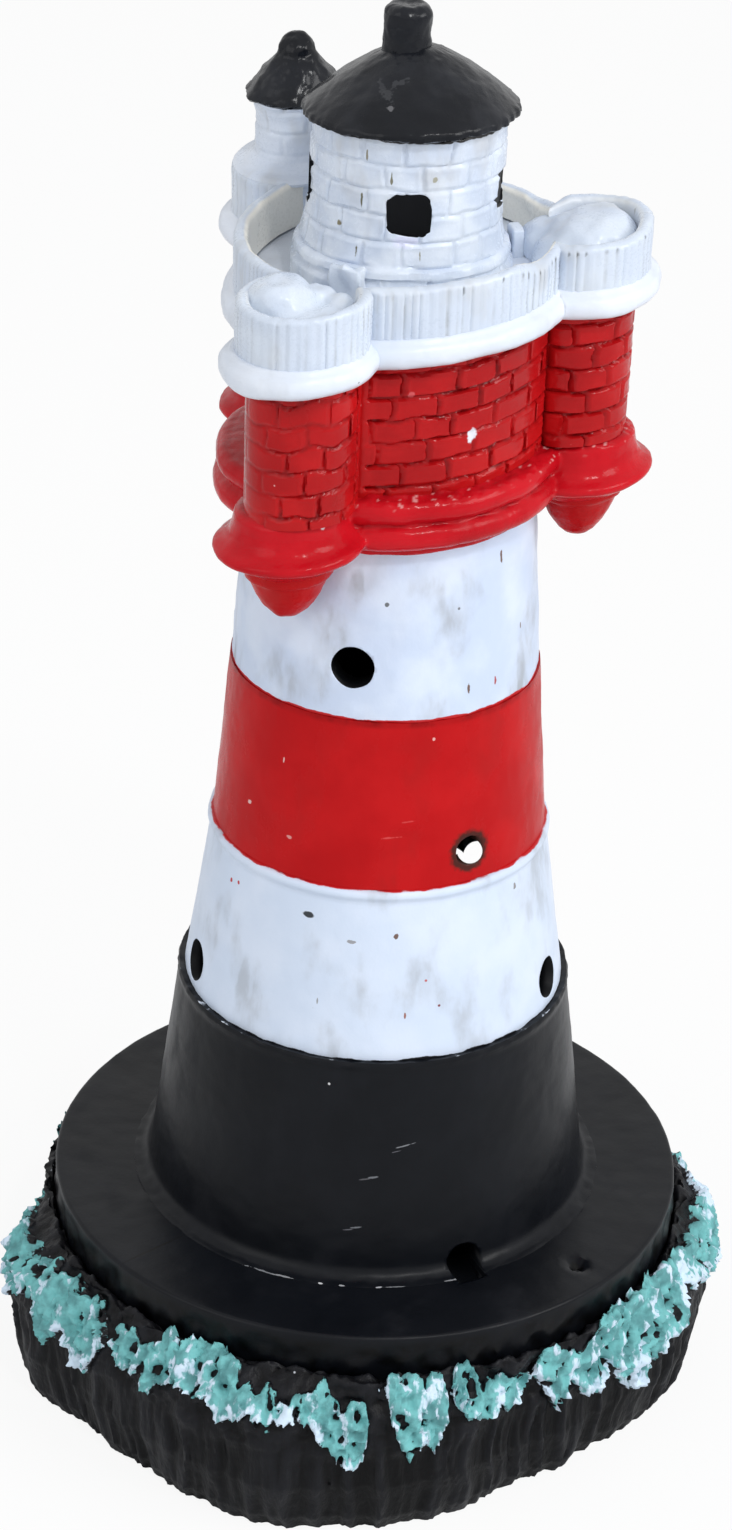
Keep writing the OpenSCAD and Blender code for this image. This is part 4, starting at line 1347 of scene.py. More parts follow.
@dataclass
class Drum:
    """One hollow drum of the tower, with its ports."""

    name: str
    node: str
    finish: Finish
    low: float
    top: float
    low_r: float
    top_r: float
    low_bore: float
    top_bore: float
    ports: tuple[Port, ...] = ()
    wobble: float = 0.1
    wobble_size: float = 9.0
    seam: float = 0.0

    def outside(self) -> Profile:
        """Returns the drum's outer face, from its base to its top."""
        return [(self.low_r, self.low), (self.top_r, self.top)]

    def wall_r(self, z: float) -> float:
        """Returns the radius of the drum's outer face at a height."""
        return blend(self.low_r, self.top_r, (z - self.low) / (self.top - self.low))

    def hide(self, point: Vector) -> float:
        """Returns the relief of the drum's skin at a point."""
        soft = ripple(Vector((point.x, point.y, point.z * 0.8)), self.wobble_size)
        return self.wobble * soft + 0.035 * ripple(point, 1.7)

    def build(self) -> bpy.types.Object:
        """Builds the drum.

        Returns:
            The drum.
        """
        outer = finely(self.outside(), 0.5)
        inner = finely([(self.top_bore, self.top), (self.low_bore, self.low)], 3.0)
        casting = Casting.turned(self.name, [*outer, *inner, outer[0]], 288).relief(self.hide)
        # Painted shade: the inner wall is marked to take a near-black colour, standing in for the shade
        # inside the tower.
        casting.marked("inner", lambda p: float(math.hypot(p.x, p.y) < self.wall_r(p.z) - 1.5))
        # Painted shade along the drum's top edge where the seam is set.
        casting.marked("crevice", lambda p: self.seam * smooth(self.top - 0.9, self.top - 0.3, p.z))
        piece = fitted(casting.mesh_object(), self.finish, self.node)
        for port in self.ports:
            bored(piece, port.cutter())
        return piece


@dataclass
class FootDrum(Drum):
    """The black foot, with a cove at its base and a lip at its top."""

    cove: float = 2.0
    lip: float = 0.7

    def outside(self) -> Profile:
        """Draws the outer face: a flange, the cove, the wall and the lip.

        Returns:
            Points of radius and height.
        """
        cove = bow((self.low_r + self.cove, self.low + self.cove + 0.12), self.cove, 270, 186, 8)
        wall = [
            (blend(self.low_r, self.top_r, k / 20), blend(self.low + self.cove + 0.12, self.top, k / 20))
            for k in range(1, 20)
        ]
        edge = self.low_r + self.cove + 0.4
        return [
            (edge, self.low - 0.9), (edge, self.low + 0.02), *cove, *wall,
            (self.top_r + 0.28, self.top - 0.9), (self.top_r + 0.34, self.top - 0.4),
            (self.top_r + 0.1, self.top + 0.12), (self.top_r - self.lip, self.top),
        ]

    def hide(self, point: Vector) -> float:
        """Gives the relief, rougher at the seam with the plinth and along the lip.

        Args:
            point: A point of the foot.

        Returns:
            How far it stands out there, in millimetres.
        """
        seam = 1 - smooth(0.0, 1.2, point.z - self.low)
        lip = smooth(-1.0, -0.2, point.z - self.top)
        rough = 0.12 * max(seam, 1.5 * lip) * ripple(point, 1.5)
        return super().hide(point) + rough


@dataclass
class BeadedDrum(Drum):
    """The lower white drum, with a soft bead round its top."""

    bead: float = 0.8

    def outside(self) -> Profile:
        """Returns the outer face with the bead."""
        bead = bow((self.top_r - self.bead / 3, self.top - self.bead), self.bead, -40, 90, 8)
        return [(self.low_r, self.low), (self.top_r + 0.12, self.top - 2.3 * self.bead), *bead]


@dataclass
class Tower:
    """The banded tower: a black foot and three drums, white, red and white."""

    joints: tuple[float, ...] = (30.6, 63.2, 87.7, 111.8, 137.2)
    bores: tuple[float, ...] = (24.0, 23.4, 19.7, 17.6, 16.2)
    port_r: float = 2.9
    sight: tuple[float, float, float] = (303, 92.1, 2.1)

    def build(self) -> list[bpy.types.Object]:
        """Builds the drums from the foot up.

        Returns:
            The drums.
        """
        lower = [Port(turn, z, self.port_r) for turn, z in ((199, 67.1), (339, 67.1), (60, 68.2))]
        lower += [Sight(*self.sight, 36.0, 53.0, aside=(1.2, 0, -0.8))]
        red = (Port(*self.sight, paint=Finish.BORE), Sight(*self.sight[:2], 1.7, -3.0, 9.0, Finish.BORE))
        upper = tuple(Port(turn, 119.2, self.port_r, 8.0) for turn in (258.2, 174, 13))
        z0, z1, z2, z3, z4 = self.joints
        b0, b1, b2, b3, b4 = self.bores
        drums = (
            FootDrum("foot_drum", "tower_foot", Finish.BLACK, z0, z1, 31.2, 27.3, b0, b1, (FootPort(),)),
            BeadedDrum(
                "lower_drum", "tower_lower_white", Finish.WHITE_LOWER, z1, z2, 26.6, 23.1, b1, b2,
                tuple(lower),
            ),
            Drum("red_drum", "tower_red", Finish.RED, z2, z3, 22.9, 21.0, b2, b3, red, seam=1.0),
            Drum(
                "upper_drum", "tower_upper_white", Finish.WHITE, z3, z4, 20.8, 19.2, b3, b4, upper,
                wobble=0.22, wobble_size=7.0,
            ),
        )
        return [drum.build() for drum in drums]


# Gallery


X_TIP = 0.075
Y_TIP = 0.038
PIVOT_Z = 150.0


def lean(point: Vector) -> Vector:
    """Tips a point with the gallery, which was glued on a little crooked.

    Args:
        point: A point of the gallery as it was cast.

    Returns:
        The point as it stands.
    """
    rear = 0.06 * max(0.0, point.y + 2) * smooth(152, 163, point.z)
    rise = X_TIP * point.x + Y_TIP * point.y + rear
    return Vector((point.x, point.y - Y_TIP * (point.z - PIVOT_Z), point.z + rise))


@dataclass(frozen=True)
class Oriel:
    """One of the gallery's three round oriels."""

    degrees: float
    reach: float

    @property
    def centre(self) -> Vector:
        """Where the oriel's axis stands."""
        return polar(self.reach, self.degrees)


RIGHT = Oriel(1.5, 23.5)
REAR = Oriel(123.8, 25.8)
FRONT = Oriel(241.2, 24.3)
BRICK_ORIELS = (Oriel(1.5, 23.2), Oriel(122.4, 25.5), Oriel(241.5, 24.3))
DECK_ORIELS = (Oriel(1.5, 23.45), Oriel(124.0, 26.0), Oriel(240.6, 24.6))
LIP_ORIELS = (Oriel(1.5, 24.3), Oriel(123.4, 26.1), Oriel(238.8, 24.5))


@dataclass
class Plan:
    """The gallery's outline: a round storey with three oriels."""

    storey_r: float = 20.0
    oriel_r: float = 7.1
    oriels: tuple[Oriel, ...] = (RIGHT, REAR, FRONT)
    step: float = 0.25
    counts: list[int] = field(default_factory=list)

    def __post_init__(self) -> None:
        """Works out how many columns each arc of the outline gets."""
        self.counts = [max(8, round(self.length(arc) / self.step)) for arc in range(6)]

    @property
    def columns(self) -> int:
        """Columns in the whole outline."""
        return sum(self.counts)

    def arc(self, number: int, out: float) -> tuple[Vector, float, float, float]:
        """Describes one arc of the outline, grown by out.

        Args:
            number: 0 to 5, with the oriels at even numbers.
            out: How far the outline is grown.

        Returns:
            The arc's centre, radius, first direction and last direction, in degrees.
        """
        main, lobe = self.storey_r + out, self.oriel_r + out
        oriel = self.oriels[number // 2]
        if number % 2 == 0:
            share = (oriel.reach ** 2 + lobe ** 2 - main ** 2) / (2 * oriel.reach * lobe)
            half = 180 - math.degrees(math.acos(min(1.0, share)))
            return oriel.centre, lobe, oriel.degrees - half, oriel.degrees + half
        after = self.oriels[(number // 2 + 1) % 3]
        first = oriel.degrees + self.half_gap(oriel, main, lobe)
        last = after.degrees - self.half_gap(after, main, lobe)
        return Vector((0, 0, 0)), main, first, last if last > first else last + 360

    @staticmethod
    def half_gap(oriel: Oriel, main: float, lobe: float) -> float:
        """Returns half the angle that an oriel takes up of the storey's wall."""
        share = (main ** 2 + oriel.reach ** 2 - lobe ** 2) / (2 * main * oriel.reach)
        return math.degrees(math.acos(min(1.0, share)))

    def length(self, number: int) -> float:
        """Returns the length of one arc of the outline."""
        _, radius, first, last = self.arc(number, 0.0)
        return radius * math.radians(last - first)

    def at(self, across: float, out: float) -> tuple[Vector, Vector, float, int]:
        """Finds a point of the outline.

        Args:
            across: Share of the columns.
            out: How far the outline is grown.

        Returns:
            The point, its outward direction, its distance from its arc's middle, and its arc's number.
        """
        column = across * self.columns
        number = 0
        while number < 5 and column > self.counts[number]:
            column -= self.counts[number]
            number += 1
        share = min(1.0, column / self.counts[number])
        centre, radius, first, last = self.arc(number, out)
        outward = polar(1.0, blend(first, last, share))
        return centre + outward * radius, outward, (share - 0.5) * self.length(number), number

    def corner(self, along: float, number: int) -> float:
        """Returns the distance from a place on an arc to the arc's nearer end."""
        return self.length(number) / 2 - abs(along)


@dataclass
class Storey:
    """The red brick storey."""

    plan: Plan
    low: float = 144.0
    courses: int = 6
    flat: float = 1.9
    phase: float = 1.5
    bricks: Brickwork = Brickwork(joint=0.44, depth=0.48, wander=0.36, seed=4.0)

    def place(self, across: float, along: float) -> tuple[Vector, float]:
        """Gives a point of the brick wall.

        Args:
            across: Share of the way round.
            along: Share of the way up the wall.

        Returns:
            The point, and its joint mark from 0 to 1.
        """
        up = along * self.courses * self.bricks.course
        _, _, run, number = self.plan.at(across, 0.0)
        bend = 0.6 * murmur(run * 0.3, up * 0.25, 5.0) * (number == 4)
        relief, joint = self.bricks.at(run + 40 * number + 100, up + self.phase + bend)
        corner = 1 - smooth(0.0, 0.5, self.plan.corner(run, number))
        if number == 4:
            thick = 0.25 + 0.65 * smooth(2, -4, run)
            relief, joint = relief * (1 - thick), joint * (1 - 0.6 * thick)
        if (number == 4 and run > 0) or (number == 5 and run < 0):
            fill = 1 - smooth(0.2, 2.6, self.plan.corner(run, number))
            relief, joint, corner = blend(relief, 0.35, fill), joint * (1 - fill), 0.0
        elif number == 3:
            relief -= self.flat * max(0.0, 1 - (2 * run / self.plan.length(number)) ** 2)
        relief = blend(relief, -0.25, corner)
        point, _, _, _ = self.plan.at(across, relief)
        x, y, z = point.x, point.y, self.low + up
        skew = 0.25 * noise.noise(Vector((x, y, z)) * 0.12)
        return lean(Vector((x, y, z + skew))), max(joint, 0.7 * corner)

    def build(self) -> bpy.types.Object:
        """Builds the brick storey.

        Returns:
            The storey.
        """
        rows = round(self.courses * self.bricks.course / 0.25)
        casting = Casting.wrapped("brick_wall", self.plan.columns, rows, self.place, ("crevice",))
        return fitted(casting.lids().mesh_object(50), Finish.BRICK, "brick_storey")


@dataclass
class Corbel:
    """The red mouldings under the bricks: two rolls round the storey, and a lip under each oriel."""

    plan: Plan
    low: float = 135.0
    top: float = 144.0
    bore: float = 16.2

    def roll_section(self) -> Profile:
        """Draws the section of the storey's mouldings: a thin strip, a low roll, a high roll.

        Returns:
            Points of radius and height.
        """
        r = self.plan.storey_r
        foot = [(self.bore, self.low), (r - 0.6, self.low)]
        strip = [*foot, (r + 0.1, self.low + 0.6), (r + 0.05, self.low + 1.4)]
        low_roll = bow((r + 1.1, self.low + 3.5), 1.75, -108, 88, 14)
        high_roll = bow((r + 0.9, self.low + 7.1), 1.65, -88, 100, 14)
        end = [(r + 0.1, self.top - 0.1), (self.bore, self.top + 0.5)]
        return finely([*strip, *low_roll, *high_roll, *end], 0.5)

    def lip_section(self) -> Profile:
        """Draws the section of an oriel's lip, about the oriel's axis.

        Returns:
            Points of radius and height.
        """
        r = self.plan.oriel_r
        rim = (r + 2.1, self.low + 3.5)
        return finely([
            (0, self.low), (5.3, self.low), (r + 0.2, self.low + 1.5), *bow(rim, 0.7, -60, 60, 8),
            (r + 1.4, self.low + 4.7), (r + 0.75, self.low + 5.5), (r + 0.35, self.low + 6.7),
            (r + 0.1, self.low + 8.3), (r - 0.8, self.top), (0, self.top),
        ], 0.5)

    def build(self) -> bpy.types.Object:
        """Builds the mouldings as one skin.

        Returns:
            The mouldings.
        """
        line = self.roll_section()
        casting = Casting.turned("corbel", [*line, line[0]], 220)
        for oriel in LIP_ORIELS:
            casting.joined(Casting.turned("lip", self.lip_section(), 90, oriel.centre))
        casting.moved(lean).moved(self.settled)
        piece = casting.mesh_object(60)
        fused(piece, 0.3, 2)
        shaped = Casting("corbel")
        shaped.bm.from_mesh(piece.data)
        bpy.data.objects.remove(piece)
        shaped.scaled(1 / MM).relief(self.hide)
        # Painted shade in the crease and seam, and painted glints along the seam.
        shaped.marked("crevice", self.shaded).marked("chips_and_glints", self.sparks)
        return fitted(shaped.mesh_object(60), Finish.CORBEL, "gallery_corbel")

    def level(self, point: Vector) -> float:
        """Returns the height that a point had before the gallery leaned and settled."""
        return point.z - X_TIP * point.x - Y_TIP * point.y - self.lift(point)

    def sparks(self, point: Vector) -> float:
        """Returns 1 on the painted glints: light specks along the seam with the bricks."""
        seam = smooth(self.top - 1.3, self.top - 0.9, self.level(point)) * smooth(-9, -5, point.x)
        return 0.6 * seam * smooth(0.44, 0.52, noise.noise(point * 1.5))

    def shaded(self, point: Vector) -> float:
        """Tells how deep in the seam with the bricks, or between the rolls, a point lies, for the painted
        shade there.

        Args:
            point: A point of the mouldings.

        Returns:
            The mark.
        """
        level = self.level(point)
        crease = 1 - smooth(0.1, 0.5, abs(level - self.low - 5.35))
        outer = smooth(2.0, 1.2, math.hypot(point.x, point.y) - self.plan.storey_r)
        return max(0.5 * smooth(self.top - 0.6, self.top - 0.1, level), 0.9 * crease * outer)

    def settled(self, point: Vector) -> Vector:
        """Lifts a point at the front and the left, and swells the rolls at the left."""
        side = smooth(-14, -21, point.x) * (1 - smooth(7, 13, abs(point.y)))
        return Vector((point.x - 0.9 * side, point.y, point.z + self.lift(point)))

    @staticmethod
    def lift(point: Vector) -> float:
        """Returns how far the mouldings rose at a point as they settled."""
        return 0.6 * smooth(20, -5, point.x)

    def hide(self, point: Vector) -> float:
        """Returns the relief of the mouldings, lumpy where they meet the bricks."""
        seam = smooth(self.top - 0.9, self.top - 0.2, self.level(point)) * smooth(-10, -6, point.x)
        return 0.14 * ripple(point, 5.0) + 0.3 * seam * ripple(point, 1.2)


@dataclass
class Pendant:
    """The drop under one oriel."""

    oriel: Oriel
    name: str
    node: str
    height: float = 6.3
    top_r: float = 5.5
    low: float = 135.0
    tower_r: float = 19.9

    def build(self) -> bpy.types.Object:
        """Builds the drop, clear of the tower.

        Returns:
            The drop.
        """
        drop = ((0.4, 1.4), (0.25, -0.1), (-0.25, -0.5), (-0.55, -1.2), (-1.2, -2.7), (-2.0, -4.0),
                (-2.8, -5.0), (-3.5, -5.6), (-4.4, -6.0))
        line = [(0.0, self.low + 1.4), *((self.top_r + r, self.low + z * self.height / 6) for r, z in drop)]
        line += [(0.0, self.low - self.height - 0.05)]
        casting = Casting.turned(self.name, finely(line, 0.4), 96, self.oriel.centre)
        casting.relief(lambda p: 0.13 * ripple(p, 3.4) + 0.04 * ripple(p, 1.2))
        casting.moved(lean).moved(self.clear)
        return fitted(casting.mesh_object(60), Finish.RED, self.node)

    def clear(self, point: Vector) -> Vector:
        """Keeps a point of the drop outside the tower's wall.

        Args:
            point: The point.

        Returns:
            The point, moved out if it lay inside.
        """
        radius = math.hypot(point.x, point.y)
        share = max(1.0, self.tower_r / max(radius, 1.0)) if point.z < self.low - 0.3 else 1.0
        return Vector((point.x * share, point.y * share, point.z))


@dataclass
class Deck:
    """The white deck, with its rounded nose."""

    plan: Plan
    low: float = 162.6
    top: float = 166.3
    floor: float = 166.5
    out: float = 2.95
    foot: float = 1.6

    def section(self) -> Profile:
        """Draws the deck's edge.

        Returns:
            Steps out from the plan, and heights.
        """
        nose = (self.top - self.low) * 0.45
        centre = (self.out - nose, self.low + nose)
        return [
            (-0.5, self.low - 0.1), (0.4, self.low - 0.1), *bow(centre, nose, -96, 68, 14),
            (self.foot + 0.1, self.top - 0.15), (self.foot - 0.2, self.top + 0.1),
            (self.foot - 1.0, self.top + 0.1), (-0.3, self.top + 0.1), (-0.5, self.floor),
        ]

    def build(self) -> bpy.types.Object:
        """Builds the deck.

        Returns:
            The deck.
        """
        line = finely(self.section(), 0.45)

        def place(across: float, along: float) -> tuple[Vector, float]:
            """Gives a point of the deck.

            Args:
                across: Share of the way round.
                along: Share of the way along the section.

            Returns:
                The point, and a mark from 0 to 1 that darkens the underside of its nose.
            """
            out, up = line[round(along * (len(line) - 1))]
            point, outward, _, _ = self.plan.at(across, out)
            soft = 0.22 * ripple(Vector((point.x, point.y, up)), 5.0) * smooth(0.4, 1.6, out)
            sag = 0.35 * noise.noise(Vector((point.x, point.y, 2.0)) * 0.16) * smooth(self.top, self.low, up)
            spot = lean(Vector((*(point + outward * soft).xy, up + sag)))
            # Darker towards the underside of the nose.
            return spot, smooth(self.low + 0.9, self.low, up)

        casting = Casting.wrapped("deck", self.plan.columns, len(line) - 1, place, ("crevice",))
        return fitted(casting.lids().mesh_object(60), Finish.DECK, "gallery_deck")


@dataclass
class Parapet:
    """The ribbed parapet: upright ribs outside, a soft uneven top, a smooth wall inside."""

    plan: Plan
    low: float = 166.1
    top: float = 173.0
    out: float = 1.4
    thick: float = 1.8
    rib: float = 1.15
    groove: float = 0.13

    @staticmethod
    def worn(point: Vector) -> float:
        """Returns how rare the dark ticks are at a point: most lie on the right half."""
        return 0.7 if point.x > 3 else 0.95

    def section(self) -> list[tuple[float, float, float]]:
        """Draws the wall's section.

        Returns:
            Steps out from the plan, heights, and how deep the ribs are there.
        """
        half = self.thick / 2
        shoulder = self.top - 0.8
        outer = [(self.out, blend(self.low, shoulder, k / 14), 1.0) for k in range(15)]
        crown = [
            (self.out - half + half * math.cos(math.radians(a)), shoulder + 0.8 * math.sin(math.radians(a)),
             max(0.0, 1 - a / 50))
            for a in range(15, 180, 15)
        ]
        inner = [(self.out - self.thick, blend(shoulder, self.low + 0.6, k / 8), 0.0) for k in range(9)]
        return outer + crown + inner

    def build(self) -> bpy.types.Object:
        """Builds the parapet.

        Returns:
            The parapet.
        """
        line = self.section()

        def place(across: float, along: float) -> tuple[Vector, float, float, float]:
            """Gives a point of the parapet.

            Args:
                across: Share of the way round.
                along: Share of the way along the section.

            Returns:
                The point, and marks for its grooves, chips and inner wall.
            """
            out, up, ribbed = line[round(along * (len(line) - 1))]
            _, _, run, number = self.plan.at(across, 0.0)
            shake = 0.5 * murmur(run * 0.5, number * 7.0, 0.0)
            phase = (run + shake) / self.rib
            rib = math.floor(phase + 0.5)
            wave = 0.5 + 0.5 * math.cos(math.tau * phase)
            uneven = 0.6 + 0.8 * chance(rib, number)
            groove = smooth(0.72, 1.0, wave) * uneven * ribbed
            corner = 1 - smooth(0.0, 0.7, self.plan.corner(run, number))
            out += -self.groove * groove - 0.25 * corner * ribbed + 0.1 * (uneven - 1) * ribbed
            point, outward, _, _ = self.plan.at(across, out)
            high = smooth(self.low + 2, self.top, up)
            soft = 0.16 * ripple(Vector((point.x, point.y, up)), 4.0)
            tip = 0.12 * min(0.0, point.y - 0.6) * smooth(14, 18, point.x)
            tip -= smooth(2, 8, point.y) * smooth(2, 8, point.x) * blend(2.2, 0.5, smooth(17, 22, point.x))
            drop = high * (tip + 0.3 * noise.noise(Vector((point.x, point.y, 9.0)) * 0.22)
                           + 0.12 * noise.noise(Vector((point.x, point.y, 3.0)) * 1.1))
            lot = chance(rib, number, 3.0)
            dirt = groove * (0.08 + 0.4 * (lot > 0.6) + 0.12 * smooth(self.top - 2.5, self.top - 0.8, up))
            deep = 0.6 * chance(rib, number, 8.0) ** 3
            start = self.top - 1.1 - deep
            dark = 0.75 * (lot > self.worn(point)) * smooth(start, start + 0.25, up)
            chips_and_glints = dark * smooth(0.86, 0.98, wave) * smooth(self.top - 0.3, self.top - 0.6, up)
            # Inner wall mark: takes the finish's beige, lightened as painted light where the wall lies in
            # shade.
            inner = smooth(0.3, -0.1, out) * (0.3 if number in (0, 4) else 0.9)
            spot = lean(Vector((*(point + outward * soft).xy, up + drop)))
            return spot, min(1.0, dirt + 0.3 * corner), chips_and_glints, inner

        marks = ("crevice", "chips_and_glints", "inner")
        casting = Casting.wrapped("parapet", self.plan.columns, len(line) - 1, place, marks)
        return fitted(casting.mesh_object(60), Finish.GALLERY, "gallery_parapet")


@dataclass
class Cap:
    """The filling inside a plain oriel, piled up in mounds.

    Each mound is a place beside the oriel's axis, a radius and a height.
    """

    oriel: Oriel
    name: str
    node: str
    mounds: tuple[tuple[float, float, float, float], ...]
    low: float = 166.2
    lump: float = 0.5

    def build(self) -> bpy.types.Object:
        """Builds the mounds as one piece.

        Returns:
            The mounds.
        """
        casting = Casting(self.name)
        for x, y, radius, height in self.mounds:
            angles = [math.radians(a) for a in range(0, 90, 6)]
            dome = [(radius * math.cos(a) ** 0.6, self.low + height * math.sin(a)) for a in angles]
            line = [(0.0, self.low), *dome, (0.0, self.low + height)]
            centre = self.oriel.centre + Vector((x, y, 0))
            casting.joined(Casting.turned("mound", finely(line, 0.4), 90, centre))
        casting.relief(lambda p: self.lump * ripple(p, 4.0) + 0.25 * ripple(p, 1.6))
        piece = casting.moved(lean).mesh_object(60)
        fused(piece, 0.35, 12)
        return fitted(piece, Finish.GALLERY, self.node)


@dataclass
class Turret:
    """The slim white turret on the rear oriel, with its pointed black roof."""

    oriel: Oriel = REAR
    floor: float = 166.2
    eaves: float = 182.1
    wall_r: float = 5.5
    base_r: float = 8.4
    base_h: float = 7.3
    roof_r: float = 6.5
    tip: float = 190.0
    tip_r: float = 2.45
    aside: float = -0.4
    bricks: Brickwork = Brickwork(length=4.76, joint=0.4, depth=0.16, wander=0.15, seed=9.0, bed_mark=0.1)

    def body(self) -> bpy.types.Object:
        """Builds the turret's wall and base.

        Returns:
            The turret.
        """
        neck = self.floor + self.base_h
        line = finely([
            (0.0, self.floor), (6.9, self.floor), (6.9, neck - 1.3), (self.base_r - 0.15, neck - 1.1),
            (self.base_r, neck - 0.7), (self.base_r - 0.4, neck - 0.3), (self.base_r - 1.5, neck),
            (self.wall_r + 1.0, neck + 0.35), (self.wall_r + 0.2, neck + 1.0), (self.wall_r, neck + 2.0),
            (self.wall_r, self.eaves - 2.2), (self.wall_r + 0.6, self.eaves), (0.0, self.eaves),
        ], 0.3)
        casting = Casting.turned("turret_wall", line, 132)

        def masonry(point: Vector) -> tuple[float, float]:
            """Reads the turret's brickwork.

            Args:
                point: A point about the turret's own axis.

            Returns:
                The relief in millimetres, and the joint mark.
            """
            run = math.atan2(point.y, point.x) / math.tau % 1.0 * 7 * self.bricks.length
            relief, joint = self.bricks.at(run, point.z - neck - 1.8, 7)
            reach = math.hypot(point.x, point.y) / self.wall_r
            share = smooth(neck + 1.2, neck + 2.2, point.z) * smooth(0.5, 0.6, reach)
            return relief * share, joint * share

        casting.relief(lambda p: masonry(p)[0] + 0.1 * ripple(p, 2.5))
        casting.marked("crevice", lambda p: 0.7 * masonry(p)[1])
        bmesh.ops.translate(casting.bm, verts=casting.bm.verts, vec=self.oriel.centre)
        return fitted(casting.moved(lean).mesh_object(55), Finish.TURRET, "turret_body")

    def roof(self) -> bpy.types.Object:
        """Builds the pointed roof.

        Returns:
            The roof.
        """
        rise = self.tip - self.tip_r - self.eaves - 0.5
        slope = [
            (blend(self.tip_r, self.roof_r, (1 - k / 14) ** 0.98), self.eaves + 0.5 + rise * k / 14)
            for k in range(15)
        ]
        dome = bow((0.0, self.tip - self.tip_r), self.tip_r, 20, 90, 6)
        dome[-1] = (0.0, dome[-1][1])
        line = finely([(0.0, self.eaves + 0.3), (self.roof_r - 1.0, self.eaves - 0.2), *slope, *dome], 0.4)
        casting = Casting.turned("turret_roof_cone", line, 108, self.oriel.centre)
        casting.relief(self.hide).moved(lean).moved(lambda p: p + Vector((self.aside, 0, 0)))
        return fitted(casting.mesh_object(60), Finish.ROOF, "turret_roof")

    def hide(self, point: Vector) -> float:
        """Gives the relief of the roof, ragged along its eaves.

        Args:
            point: A point of the roof.

        Returns:
            How far it stands out there, in millimetres.
        """
        rim = 1 - smooth(self.eaves, self.eaves + 1.4, point.z)
        lumps = 0.28 * ripple(point, 2.6)
        return lumps + 0.4 * rim * ripple(Vector((point.x, point.y, 0.0)), 1.5)


# Lantern


